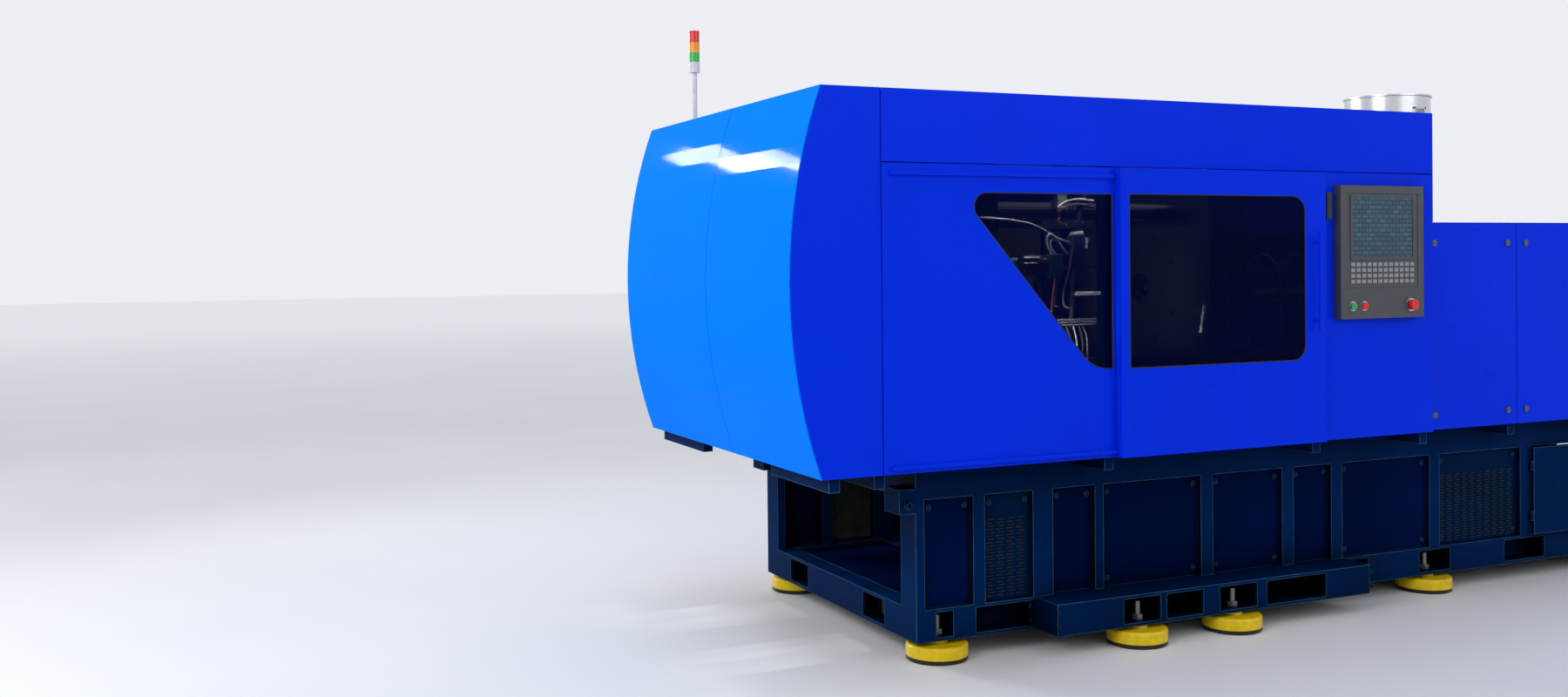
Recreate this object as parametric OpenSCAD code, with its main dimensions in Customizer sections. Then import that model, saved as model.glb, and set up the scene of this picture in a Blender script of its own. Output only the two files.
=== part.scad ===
// Electric injection moulding machine: clamp end at low x, injection end at high x, operator side at low y.
// Lengths are laid out from the clamp end, and the whole machine is then centred on the origin.

/* [Overall] */
// Length of the machine
machine_l = 5600; // [5500:20:6200]
// Width over the side covers
cover_w = 1690; // [1650:10:1760]
// Height of the top of the clamp covers
cover_top = 2000; // [1990:10:2100]
// Height of the lower edge of the covers
cover_bottom = 710; // [706:2:720]
// Height of the clamp and barrel axis
axis_z = 1300; // [1290:5:1320]
// Thickness of the cover sheet
sheet_t = 3; // [2:0.5:4]
// Depth of the folded rim of a cover
rim_d = 30; // [20:2:34]
// Gap between two covers
seam_gap = 4; // [2:1:6]

/* [End cover] */
// Radius of the bulging end cover, seen from the side
bulge_r = 1900; // [1700:50:2400]
// Height at which the end cover stands out furthest
bulge_z = 1345; // [1300:5:1400]
// Place of the seam between the end panel and the side cover
end_seam_x = 338; // [320:2:360]
// Place of the seam of the end cover, measured from the middle
end_seam_y = -93; // [-150:1:150]
// Place of the face that the end covers are fixed to
end_frame_x = 150; // [140:2:170]

/* [Base] */
// Radius of a levelling pad
pad_r = 112; // [90:2:125]
// Height of a levelling pad
pad_h = 60; // [50:1:64]
// Height of the underside of the sill
sill_z = 75; // [72:1:90]
// Height of the sill channel
sill_h = 115; // [100:5:130]
// Thickness of the base plates
plate_t = 12; // [8:1:16]
// Half width of the narrow sill
sill_half = 655; // [640:5:680]
// Half width of the wide sill under the mould
step_half = 795; // [760:5:830]
// Where the wide sill starts
step_x0 = 1062; // [1050:2:1080]
// Where the wide sill ends
step_x1 = 2560; // [2500:10:2620]
// Where the base starts
base_x0 = 565; // [540:5:580]
// Distance from the end of the base to the end of the machine
base_back = 120; // [60:10:200]
// Height of the base posts above the floor
post_top = 580; // [560:5:600]
// Height of the rail on top of the posts
rail_h = 120; // [100:5:130]
// Depth of the posts and of the top rail
post_d = 60; // [50:2:80]

/* [Clamp] */
// Radius of a tie bar
tie_r = 45; // [40:1:50]
// Distance between the tie bars
tie_pitch = 610; // [600:5:620]
// Width of a platen
platen_w = 890; // [870:10:910]
// Height of a platen
platen_h = 860; // [850:5:870]
// Thickness of the moving platen
moving_t = 190; // [180:5:220]
// Thickness of the fixed platen
fixed_t = 200; // [180:5:240]
// Place of the back face of the toggle support
support_x = 300; // [290:2:310]
// Thickness of the toggle support
support_t = 160; // [140:5:180]
// Greatest mould thickness
mould_max = 520; // [480:10:560]
// Travel of the toggle support for thinner moulds
mould_travel = 250; // [150:10:260]
// Radius of the bore for the locating ring
locating_r = 60; // [50:1:70]
// Depth of the bore for the locating ring
locating_d = 30; // [20:1:35]
// Clearance of running fits, on the radius
run_fit = 0.1; // [0.05:0.01:0.1]

/* [Toggle] */
// Length of each toggle link between its pins
link_l = 330; // [320:2:336]
// Angle through which the toggle folds
fold = 75; // [70:1:76]
// Height of the outer toggle pins above the axis
pin_half = 380; // [376:1:382]
// Radius of the boss round a toggle pin
boss_r = 48; // [44:1:50]
// Radius of a toggle pin
pin_r = 28; // [24:1:32]
// Distance from the support plate to its toggle pins
lug_reach = 100; // [90:2:110]
// Distance from the moving platen to its toggle pins
platen_reach = 130; // [124:2:140]
// Length of the arm that the crosshead link pulls
arm_l = 180; // [174:2:184]
// Angle of that arm outside the link
arm_angle = 20; // [18:1:22]
// Inner face of the toggle links, measured from the middle
link_y = 130; // [128:1:131]
// Thickness of the outer and inner cheeks of a toggle link
cheek_t = 34; // [30:1:35]
// Thickness of the middle links and lugs
tongue_t = 56; // [52:2:58]
// Side play between links
side_play = 1; // [0.5:0.5:1.5]

/* [Mould height drive] */
// Teeth of the ring gear
ring_teeth = 120; // [116:4:124]
// Teeth of a tie bar nut gear
nut_teeth = 36; // [36:4:40]
// Teeth of the driving pinion
pinion_teeth = 20; // [20:4:24]
// Face width of the gears
gear_w = 36; // [30:2:40]

/* [Gates] */
// Place of the seam between the side cover and the gate
gate_x = 1300; // [1290:5:1320]
// Gap between the side cover and the gate that slides over it
gate_gap = 5; // [4:1:8]
// Thickness of a gate
gate_t = 30; // [28:1:34]
// Travel of a gate
gate_travel = 860; // [800:10:880]
// Height of the lower edge of the window
window_z0 = 1030; // [1000:5:1060]
// Height of the upper edge of the window
window_z1 = 1655; // [1640:5:1670]
// Height of the seam between the gate and the header
header_z = 1755; // [1750:1:1770]

/* [Injection] */
// Radius of the barrel
barrel_r = 70; // [62:1:74]
// Radius of the screw
screw_r = 22.5; // [20:0.5:25]
// Length of the barrel in front of its plate
barrel_l = 1245; // [1200:5:1300]
// Travel of the injection unit
unit_travel = 300; // [250:10:310]
// Travel of the screw
screw_travel = 240; // [200:10:250]
// Thickness of the front plate of the injection unit
front_plate_t = 160; // [150:5:180]
// Half width of the injection covers
inj_half = 800; // [790:5:812]
// Height of the injection covers
inj_top = 1560; // [1556:2:1580]
// Radius of the hopper
hopper_r = 190; // [170:5:210]
// Height of the hopper above its throat block
hopper_h = 520; // [480:10:560]

/* [Hidden] */
$fn = 64;

// Colours, as the photograph shows them
azure = [0.02, 0.49, 0.96];
deep_blue = [0.0, 0.16, 0.82];
navy = [0.04, 0.13, 0.2];
pad_yellow = [0.93, 0.78, 0.12];
steel = [0.68, 0.7, 0.72];
dark_steel = [0.34, 0.36, 0.38];
casting = [0.2, 0.3, 0.38];
smoke = [0.05, 0.1, 0.16, 0.6];

// Gap left between bars that are welded or bolted together
weld = 0.2;

// Derived places, from the floor up and from the clamp end
half_w = cover_w / 2;
sill_top = sill_z + sill_h;
rail_top = post_top + rail_h;
base_x1 = machine_l - base_back;
shoe_h = 20;
wear_t = 10;
platen_z0 = axis_z - platen_h / 2;
wear_z = platen_z0 - shoe_h;
bed_top = wear_z - wear_t;
tie_half = tie_pitch / 2;

// Clamp places with the mould space fully open
support_front = support_x + support_t;
pin_x = support_front + lug_reach;
open_pin_x = pin_x + 2 * link_l * cos(fold);
closed_pin_x = pin_x + 2 * link_l;
moving_x = open_pin_x + platen_reach;
moving_front = moving_x + moving_t;
fixed_x = closed_pin_x + platen_reach + moving_t + mould_max;
fixed_back = fixed_x + fixed_t;

function unit(v) = v / norm(v);

// Points of a rounded corner at b, between the sides that run to a and to c
function corner(a, b, c, r, n) =
    let (
        u = unit(a - b),
        w = unit(c - b),
        half = acos(u * w) / 2,
        centre = b + unit(u + w) * r / sin(half),
        p0 = b + u * r / tan(half) - centre,
        p1 = b + w * r / tan(half) - centre,
        start = atan2(p0[1], p0[0]),
        turn = atan2(p1[1], p1[0]) - start,
        sweep = turn > 180 ? turn - 360 : (turn < -180 ? turn + 360 : turn)
    )
    [for (i = [0:n]) centre + r * [cos(start + sweep * i / n), sin(start + sweep * i / n)]];

// An outline whose corner i has the radius radii[i]
function rounded(points, radii, n = 6) =
    let (last = len(points))
    [for (i = [0:last - 1]) each (
        radii[i] > 0
            ? corner(points[(i + last - 1) % last], points[i], points[(i + 1) % last], radii[i], n)
            : [points[i]]
    )];

// A block between two limits along each axis
module block(x, y, z)
    translate([x[0], y[0], z[0]])
        cube([x[1] - x[0], y[1] - y[0], z[1] - z[0]]);

module rod_x(x, y, z, r)
    translate([x[0], y, z])
        rotate([0, 90, 0])
            cylinder(r = r, h = x[1] - x[0]);

module rod_y(x, y, z, r)
    translate([x, y[0], z])
        rotate([-90, 0, 0])
            cylinder(r = r, h = y[1] - y[0]);

module rod_z(x, y, z, r)
    translate([x, y, z[0]])
        cylinder(r = r, h = z[1] - z[0]);

// A side view, drawn as x and z, given a thickness along y
module side_plate(y)
    translate([0, y[1], 0])
        rotate([90, 0, 0])
            linear_extrude(y[1] - y[0])
                children();

// An end view, drawn as y and z, given a thickness along x
module end_plate(x)
    translate([x[0], 0, 0])
        rotate([90, 0, 90])
            linear_extrude(x[1] - x[0])
                children();

// The child, drawn on the operator side, and its twin on the far side
module both_sides() {
    children();
    mirror([0, 1, 0]) children();
}

module from_clamp_end()
    translate([-machine_l / 2, 0, 0])
        children();

// A rectangular cover with folded rims, its face at the low y of the range y
module side_tray(x, y, z)
    difference() {
        block(x, y, z);
        block([x[0] + sheet_t, x[1] - sheet_t], [y[0] + sheet_t, y[1] + 1], [z[0] + sheet_t, z[1] - sheet_t]);
    }

// A rectangular cover with folded rims, its face at the top
module roof_tray(x, y, z)
    difference() {
        block(x, y, z);
        block([x[0] + sheet_t, x[1] - sheet_t], [y[0] + sheet_t, y[1] - sheet_t], [z[0] - 1, z[1] - sheet_t]);
    }

// Base

// Posts of each long side, as the x of their two faces; the first is the corner post
post_list = [
    [base_x0, base_x0 + 35], [800, 850], [1055, 1143], [1330, 1370], [1830, 1890], [2240, 2300],
    [2500, step_x1], [3050, 3110], [3600, 3660], [4200, 4260], [4860, 4920], [base_x1 - 60, base_x1],
];
vent_bays = [1, 7];
door_bay = 8;
corner_post_d = 110;
sill_d = 100;
end_sill_d = 80;
cross_w = 60;

pad_spots = [
    [base_x0 + 115, sill_half - 58], [step_x0 + 388, step_half - 50], [step_x0 + 838, step_half - 50],
    [3080, sill_half - 58], [4230, sill_half - 58], [base_x1 - 115, sill_half - 58],
];
stud_r = 12;
stud_play = 1;

// Flush plates between the pockets of each stretch of sill
narrow_plates = [[base_x0, base_x0 + 35], [715, 810]];
wide_plates = [[step_x0, 1353], [1520, 1550], [1720, 1800], [1980, 2030], [2330, step_x1]];
back_plates = [[2700, 2990], [3170, 3500], [3750, 4130], [4330, 4700], [5000, 5250], [base_x1 - 50, base_x1]];

module sill_run(x, face, plates) {
    inner = sill_half - sill_d;
    difference() {
        block(x, [-face, -inner], [sill_z, sill_top]);
        block([x[0] - 1, x[1] + 1], [-face - 1, -inner - plate_t], [sill_z + plate_t, sill_top - plate_t]);
    }
    for (p = plates)
        block([max(p[0], x[0]), min(p[1], x[1])], [-face, -face + plate_t], [sill_z, sill_top]);
}

// The sill across an end, with two pockets for lifting forks
module end_sill(x) {
    fork = [245, 415];
    difference() {
        block(x, [-sill_half, sill_half], [sill_z, sill_top]);
        block([x[0] + plate_t, x[1] - plate_t], [-sill_half - 1, sill_half + 1], [sill_z + plate_t, sill_top - plate_t]);
        for (s = [-1, 1])
            block([x[0] - 1, x[1] + 1], s > 0 ? fork : [-fork[1], -fork[0]], [sill_z + plate_t, sill_top - plate_t]);
    }
    both_sides()
        block([x[0], x[0] + 35], [-sill_half, -sill_half + plate_t], [sill_z, sill_top]);
}

// A bracket bolted to the top of a corner post, with a thick plate on it
module corner_bracket() {
    x = [base_x0 - 65, base_x0 - weld];
    y = [-sill_half, -sill_half + corner_post_d];
    block(x, y, [post_top - 46, post_top + 20]);
    block(x, y, [post_top + 20 + weld, post_top + 42]);
}

bed_beam_y = [340, 480];
inj_beam_y = [300, 420];
inj_beam_x0 = 3350;

module base_side() {
    sill_run([base_x0 + end_sill_d + weld, step_x0 - weld], sill_half, narrow_plates);
    sill_run([step_x0, step_x1], step_half, wide_plates);
    sill_run([step_x1 + weld, base_x1 - end_sill_d - weld], sill_half, back_plates);
    for (x = [step_x0, step_x1 - plate_t])
        block([x, x + plate_t], [-step_half, -sill_half + sill_d], [sill_z, sill_top]);
    for (i = [0:len(post_list) - 1])
        block(
            post_list[i],
            [-sill_half, -sill_half + (i == 0 ? corner_post_d : post_d)],
            [sill_top + weld, post_top - weld]
        );
    block([base_x0, base_x1], [-sill_half, -sill_half + post_d], [post_top, rail_top]);
    block([end_frame_x, step_x1], [-bed_beam_y[1], -bed_beam_y[0]], [rail_top + weld, bed_top]);
    block([inj_beam_x0, base_x1], [-inj_beam_y[1], -inj_beam_y[0]], [rail_top + weld, bed_top]);
}

module cross_bar(x, half, z)
    block([x, x + cross_w], [-half, half], z);

module base_frame() {
    cross_x = [base_x0, step_x0, 2240, 2500, 3600, 4860, base_x1 - cross_w];
    low_cross_x = [step_x0, 2500, 3600];
    color(navy)
        difference() {
            union() {
                both_sides() {
                    base_side();
                    corner_bracket();
                }
                end_sill([base_x0, base_x0 + end_sill_d]);
                end_sill([base_x1 - end_sill_d, base_x1]);
                for (x = cross_x)
                    cross_bar(x, sill_half - post_d - weld, [post_top, rail_top]);
                for (x = low_cross_x)
                    cross_bar(x, sill_half - sill_d - weld, [sill_z, sill_top]);
                for (x = [end_frame_x, base_x0])
                    cross_bar(x, bed_beam_y[0] - weld, [rail_top + weld, rail_top + tube]);
            }
            both_sides()
                for (p = pad_spots)
                    rod_z(p[0], -p[1], [sill_z - 1, sill_z + plate_t + 1], stud_r + stud_play);
        }
}

bay_y = [-sill_half + 20, -sill_half + 45];

module base_panels() {
    color(navy)
        both_sides()
            for (i = [0:len(post_list) - 2])
                if (len(search(i, vent_bays)) == 0 && i != door_bay)
                    side_tray([post_list[i][1], post_list[i + 1][0]], bay_y, [sill_top, post_top]);
    color(navy)
        mirror([0, 1, 0])
            side_tray([post_list[door_bay][1], post_list[door_bay + 1][0]], bay_y, [sill_top, post_top]);
}

// A cover with rows of louvre slots, staggered like bricks
module vent_panel(x) {
    row_pitch = 12;
    slot_h = 5;
    rows = floor(0.75 * (post_top - sill_top) / row_pitch);
    columns = round((x[1] - x[0] - 34) / 44);
    column_pitch = (x[1] - x[0] - 34) / columns;
    difference() {
        side_tray(x, bay_y, [sill_top, post_top]);
        for (r = [0:rows - 1])
            for (c = [0:columns - 1])
                translate([x[0] + 16 + c * column_pitch + (r % 2) * 8, bay_y[0] - 1, sill_top + 15 + r * row_pitch])
                    cube([column_pitch - 10, sheet_t + 2, slot_h]);
    }
}

module vent_panels()
    color(navy)
        both_sides()
            for (i = vent_bays)
                vent_panel([post_list[i][1], post_list[i + 1][0]]);

// The cabinet door hangs on two knuckles at its low x edge
hinge_r = 9;
door_x = [post_list[door_bay][1] + 2, post_list[door_bay + 1][0] - 2];
door_z = [sill_top + 4, post_top - 4];

module cabinet_door()
    color(navy) {
        difference() {
            side_tray(door_x, [-sill_half - 20, -sill_half - 0.3], door_z);
            block([door_x[1] - 70, door_x[1] - 40], [-sill_half - 21, -sill_half], [400, 480]);
        }
        difference() {
            block([door_x[1] - 74, door_x[1] - 36], [-sill_half - 16.9, -sill_half - 6], [396, 484]);
            block([door_x[1] - 70, door_x[1] - 40], [-sill_half - 18, -sill_half - 9], [400, 480]);
        }
        for (z = [door_z[0] + 60, door_z[1] - 100])
            rod_z(door_x[0] - 2, -sill_half - hinge_r - 0.3, [z, z + 40], hinge_r);
    }

module levelling_pads() {
    boss_top = sill_z - 7;
    color(pad_yellow)
        both_sides()
            for (p = pad_spots)
                translate([p[0], -p[1], 0])
                    rotate_extrude()
                        polygon([
                            [0, 0], [pad_r - 3, 0], [pad_r, 3], [pad_r, pad_h - 8], [pad_r - 3, pad_h - 3],
                            [pad_r - 8, pad_h], [40, pad_h], [36, boss_top], [stud_r + 0.3, boss_top],
                            [stud_r + 0.3, 39.7], [0, 39.7],
                        ]);
}

module levelling_bolts()
    color(steel)
        both_sides()
            for (p = pad_spots)
                translate([p[0], -p[1], 0]) {
                    translate([0, 0, 40]) cylinder(r = stud_r, h = sill_top - 40 - 35);
                    translate([0, 0, sill_z - 7]) cylinder(r = 26, h = 7);
                    translate([0, 0, sill_z + plate_t]) cylinder(r = 21, h = 19, $fn = 6);
                }

inj_rail_y = [345, 375];
inj_rail_h = 32;
inj_rail_x = [inj_beam_x0 + 30, base_x1 - 40];
strip_y = [platen_w / 2 - 95, platen_w / 2 - 5];

// Hardened strips on the bed for the clamp, and linear rails for the injection unit
module slide_rails()
    color(steel)
        both_sides() {
            block([support_x + 40, fixed_x - 30], [-strip_y[1], -strip_y[0]], [bed_top, wear_z]);
            block(inj_rail_x, [-inj_rail_y[1], -inj_rail_y[0]], [bed_top, bed_top + inj_rail_h]);
        }

// Frame that carries the covers

tube = 40;
tube_y = [-half_w + rim_d, -half_w + rim_d + tube];
roof_z0 = cover_top - 35;
console_x = [fixed_back - 20, fixed_back + 600];
inj_tube_y = [-inj_half + rim_d, -inj_half + rim_d + tube];
inj_roof_z0 = inj_top - 30;
frame_posts = [end_frame_x, end_seam_x - tube / 2, gate_x - tube - 4, console_x[0] + 4, console_x[1] - tube - 4];
inj_posts = [3380, 4400, base_x1 - 20];

// Uprights, each on an arm that reaches in to the bed beam or to the rail of the base
module cover_frame_side() {
    for (x = frame_posts) {
        block([x, x + tube], tube_y, [rail_top + weld, roof_z0 - tube - weld]);
        block([x, x + tube], [tube_y[0], x < base_x0 ? -bed_beam_y[0] : -sill_half], [rail_top - tube, rail_top]);
    }
    block([end_frame_x, console_x[1] - 4], tube_y, [roof_z0 - tube, roof_z0]);
    for (x = inj_posts) {
        block([x, x + tube], inj_tube_y, [rail_top + weld, inj_roof_z0 - tube - weld]);
        block([x, x + tube], [inj_tube_y[0], -sill_half], [rail_top - tube, rail_top]);
    }
    block([inj_posts[0], machine_l - rim_d], inj_tube_y, [inj_roof_z0 - tube, inj_roof_z0]);
}

module cover_frame() {
    color(navy) {
        both_sides() cover_frame_side();
        for (x = [end_frame_x, gate_x - tube - 4, console_x[1] - tube - 4])
            block([x, x + tube], [tube_y[1] + weld, -tube_y[1] - weld], [roof_z0 - tube, roof_z0]);
        block(
            [machine_l - rim_d - tube, machine_l - rim_d],
            [inj_tube_y[1] + weld, -inj_tube_y[1] - weld],
            [inj_roof_z0 - tube, inj_roof_z0]
        );
    }
}

// Covers

// Place of the bulging end surface at height z, for a sheet surface that lies inset further in
function end_x(z, inset = 0) = bulge_r - sqrt(pow(bulge_r - inset, 2) - pow(z - bulge_z, 2));

arc_steps = 20;
end_heights = [for (i = [0:arc_steps]) cover_bottom + (cover_top - cover_bottom) * i / arc_steps];
fold_gap = 0.5;

module end_cover(y, rib_ys) {
    inner = [for (i = [arc_steps:-1:0]) [end_x(end_heights[i], sheet_t), end_heights[i]]];
    side_plate(y)
        polygon(concat([for (z = end_heights) [end_x(z), z]], inner));
    for (r = rib_ys)
        side_plate([r, r + sheet_t])
            polygon(concat(inner, [[end_frame_x, cover_bottom], [end_frame_x, cover_top]]));
    for (z = [cover_bottom, cover_top - sheet_t])
        block([end_x(z, sheet_t) + sheet_t, end_frame_x], [rib_ys[0], rib_ys[1] + sheet_t], [z, z + sheet_t]);
}

module end_cover_near()
    color(azure)
        end_cover(
            [-half_w, end_seam_y - seam_gap / 2],
            [-half_w + sheet_t + fold_gap, end_seam_y - seam_gap / 2 - sheet_t]
        );

module end_cover_far()
    color(azure)
        end_cover(
            [end_seam_y + seam_gap / 2, half_w],
            [end_seam_y + seam_gap / 2, half_w - 2 * sheet_t - fold_gap]
        );

// The side panel next to the end cover, whose free edge follows the bulge
module end_side_panel() {
    x1 = end_seam_x - seam_gap / 2;
    side_plate([-half_w, -half_w + sheet_t])
        polygon(concat(
            [for (z = end_heights) [end_x(z, sheet_t + fold_gap), z]],
            [[x1, cover_top], [x1, cover_bottom]]
        ));
    block([x1 - sheet_t, x1], [-half_w, -half_w + rim_d], [cover_bottom, cover_top]);
    for (z = [cover_bottom, cover_top - sheet_t])
        block([end_frame_x, x1], [-half_w, -half_w + rim_d], [z, z + sheet_t]);
}

// The window has a slanted end, and runs on across the seam into the gate
window_x0 = 640;
window_slant = 549;
window_border = 25;
window_lap = 16;

function window_outline(lap) = [
    [window_x0 - 1.5 * lap, window_z1 + lap],
    [gate_x - window_border + lap, window_z1 + lap],
    [gate_x - window_border + lap, window_z0 - lap],
    [window_x0 + window_slant - lap, window_z0 - lap],
];

module toggle_side_cover()
    difference() {
        side_tray(
            [end_seam_x + seam_gap / 2, gate_x],
            [-half_w, -half_w + rim_d],
            [cover_bottom, header_z - seam_gap]
        );
        side_plate([-half_w - 1, -half_w + sheet_t + 1])
            polygon(rounded(window_outline(0), [48, 8, 8, 150]));
    }

module side_covers()
    color(deep_blue)
        both_sides() {
            end_side_panel();
            toggle_side_cover();
        }

pane_t = 5;

module side_windows()
    color(smoke)
        both_sides()
            side_plate([-half_w + sheet_t, -half_w + sheet_t + pane_t])
                polygon(window_outline(window_lap));

module header_panels()
    color(deep_blue)
        both_sides() {
            side_tray([end_seam_x + seam_gap / 2, console_x[1]], [-half_w, -half_w + rim_d], [header_z, cover_top]);
            side_tray(console_x, [-half_w, -half_w + rim_d], [cover_bottom, header_z - seam_gap]);
        }

roof_y = [-half_w + rim_d + 1, half_w - rim_d - 1];

module top_covers()
    color(deep_blue) {
        roof_tray([end_frame_x, gate_x], roof_y, [roof_z0, cover_top - 2]);
        roof_tray([console_x[0] + 4, console_x[1]], roof_y, [roof_z0, cover_top - 2]);
        block([console_x[1], console_x[1] + sheet_t], [-half_w, half_w], [inj_top + 1, cover_top]);
    }

inj_cover_x = [console_x[1] + seam_gap, machine_l];
throat_half = 60;
front_plate_x = fixed_x + 145 + barrel_l;
hopper_x = front_plate_x + front_plate_t / 2;
hood_x = [console_x[1] + 60, front_plate_x - 150];
hood_y = 240;

// The covers of the injection end meet over the posts of the frame that carries them
inj_seams = [inj_posts[0] + tube / 2, inj_posts[1] + tube / 2];
inj_bays = [
    [inj_cover_x[0], inj_seams[0] - seam_gap / 2],
    [inj_seams[0] + seam_gap / 2, inj_seams[1] - seam_gap / 2],
    [inj_seams[1] + seam_gap / 2, machine_l - rim_d],
];
inj_side_top = inj_top - rim_d;

// Louvre slots that let the warm air out, hanging down and to the front from a corner
module inj_louvres(x1, z1)
    for (c = [0:3])
        for (r = [0:9])
            block(
                [x1 - 90 - c * 110, x1 - c * 110],
                [-inj_half - 1, -inj_half + sheet_t + 1],
                [z1 - 8 - r * 24, z1 - r * 24]
            );

module injection_covers()
    color(deep_blue) {
        both_sides()
            for (x = inj_bays)
                difference() {
                    side_tray(x, [-inj_half, -inj_half + rim_d], [cover_bottom, inj_side_top]);
                    if (x[1] == machine_l - rim_d)
                        inj_louvres(x[1] - 160, inj_side_top - 140);
                }
        difference() {
            block([machine_l - rim_d + weld, machine_l], [-inj_half, inj_half], [cover_bottom, inj_side_top]);
            block(
                [machine_l - rim_d - 1, machine_l - sheet_t],
                [-inj_half + sheet_t, inj_half - sheet_t],
                [cover_bottom + sheet_t, inj_side_top - sheet_t]
            );
        }
        difference() {
            for (x = [inj_bays[0], inj_bays[1], [inj_bays[2][0], machine_l]])
                roof_tray(x, [-inj_half, inj_half], [inj_side_top + weld, inj_top]);
            block(hood_x, [-hood_y, hood_y], [inj_side_top, inj_top + 1]);
            block(
                [hopper_x - throat_half - 30, hopper_x + throat_half + unit_travel + 30],
                [-throat_half - 60, throat_half + 60],
                [inj_side_top, inj_top + 1]
            );
        }
    }

// The hood over the barrel hangs on a hinge along its far edge
hood_lap = 15;
hood_hinge = [hood_y + hood_lap + 4, inj_top + 10];

module purge_guard() {
    lap = hood_lap;
    color(dark_steel)
        difference() {
            roof_tray([hood_x[0] - lap, hood_x[1] + lap], [-hood_y - lap, hood_y + lap], [inj_top + 0.3, inj_top + 31]);
            block([hood_x[0] + 60, hood_x[1] - 60], [-hood_y + 50, hood_y - 50], [inj_top, inj_top + 40]);
        }
    color(smoke)
        block([hood_x[0] + 45, hood_x[1] - 45], [-hood_y + 35, hood_y - 35], [inj_top + 22, inj_top + 28]);
    color(dark_steel)
        rod_x([hood_x[0] + 40, hood_x[1] - 40], hood_hinge[0], hood_hinge[1], 7);
}

// Gates

gate_y = [-half_w - gate_gap - gate_t, -half_w - gate_gap];
gate_span = [gate_x - 15, console_x[0] + 15];
gate_z = [cover_bottom, header_z - 6];
track_t = 12;
track_h = 14;
track_zs = [cover_bottom + 14, header_z - 44];
shoe_gap = 0.3;
handle_out = 35;

module gate_tracks()
    color(steel)
        both_sides()
            for (z = track_zs)
                block([end_seam_x + 30, console_x[0] + 40], [-half_w - track_t, -half_w], [z, z + track_h]);

// A shoe that grips the track from above and below
module gate_shoe(x, z) {
    difference() {
        block([x, x + 60], [gate_y[0] + sheet_t, -half_w - 1], [z - 10, z + track_h + 10]);
        block([x - 1, x + 61], [-half_w - track_t - shoe_gap, -half_w], [z - shoe_gap, z + track_h + shoe_gap]);
    }
}

module gate()
    color(deep_blue) {
        difference() {
            side_tray(gate_span, gate_y, gate_z);
            side_plate([gate_y[0] - 1, gate_y[0] + sheet_t + 1])
                polygon(rounded(
                    [
                        [gate_x + window_border, window_z1], [console_x[0] - 90, window_z1],
                        [console_x[0] - 90, window_z0], [gate_x + window_border, window_z0],
                    ],
                    [8, 60, 60, 8]
                ));
            for (z = track_zs)
                block(
                    [gate_span[0] - 1, gate_span[1] + 1],
                    [-half_w - track_t - 3, gate_y[1] + 1],
                    [z - 3, z + track_h + 3]
                );
        }
        for (z = track_zs)
            for (x = [gate_span[0] + 60, gate_span[1] - 120])
                gate_shoe(x, z);
        gate_handle();
    }

module gate_handle() {
    x = console_x[0] - 40;
    for (z = [1180, 1480])
        rod_y(x, [gate_y[0] - handle_out + 8, gate_y[0]], z, 8);
    rod_z(x, gate_y[0] - handle_out + 8, [1140, 1520], 8);
}

module gate_window()
    color(smoke)
        block(
            [gate_x + window_border - 12, console_x[0] - 78],
            [gate_y[0] + sheet_t, gate_y[0] + sheet_t + pane_t],
            [window_z0 - 12, window_z1 + 12]
        );

module front_gate() gate();
module front_window() gate_window();
module rear_gate() mirror([0, 1, 0]) gate();
module rear_window() mirror([0, 1, 0]) gate_window();

tower_spot = [190, 505];

module signal_tower()
    translate([tower_spot[0], tower_spot[1], cover_top - 2]) {
        color(steel) {
            cylinder(r = 32, h = 12);
            translate([0, 0, 12]) cylinder(r = 10, h = 200);
            translate([0, 0, 212]) cylinder(r = 22, h = 34);
        }
        color([0.2, 0.75, 0.3]) translate([0, 0, 246]) cylinder(r = 21.5, h = 44);
        color([0.95, 0.5, 0.1]) translate([0, 0, 290]) cylinder(r = 21.5, h = 44);
        color([0.85, 0.1, 0.1]) translate([0, 0, 334]) cylinder(r = 21.5, h = 44);
        color(steel) translate([0, 0, 378]) cylinder(r = 22, h = 6);
    }

// Control panel, on the console beside the gate

panel_x = [console_x[0] + 90, console_x[1] - 90];
panel_z = [1180, 1700];
panel_y = [-half_w - 36, -half_w];
button_r = 14;
button_stem = 8;
button_z = panel_z[0] + 50;
button_x0 = panel_x[0] + 60;
button_pitch = 60;
stop_x = panel_x[1] - 70;

module control_panel() {
    color([0.16, 0.18, 0.2])
        difference() {
            block(panel_x, panel_y, panel_z);
            block(
                [panel_x[0] + 30, panel_x[1] - 30],
                [panel_y[0] - 1, panel_y[0] + 6],
                [panel_z[0] + 120, panel_z[1] - 30]
            );
            for (x = [button_x0, button_x0 + button_pitch])
                rod_y(x, [panel_y[0] - 1, panel_y[0] + 22], button_z, button_stem + run_fit);
            rod_y(stop_x, [panel_y[0] - 1, panel_y[0] + 28], button_z, button_stem + run_fit);
        }
    color([0.05, 0.08, 0.12])
        block([panel_x[0] + 30.5, panel_x[1] - 30.5], [panel_y[0] + 2, panel_y[0] + 6], [panel_z[0] + 120.5, panel_z[1] - 30.5]);
}

module push_button(x, cap_r, cap_h, travel) {
    rod_y(x, [panel_y[0] - travel - cap_h, panel_y[0] - travel], button_z, cap_r);
    rod_y(x, [panel_y[0] - travel - 1, panel_y[0] + 14], button_z, button_stem);
}

module start_button() color([0.1, 0.6, 0.25]) push_button(button_x0, button_r, 6, 4);
module stop_button() color([0.75, 0.1, 0.1]) push_button(button_x0 + button_pitch, button_r, 6, 4);
module e_stop() color([0.85, 0.1, 0.08]) push_button(stop_x, 20, 16, 6);

// Clamp

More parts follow.
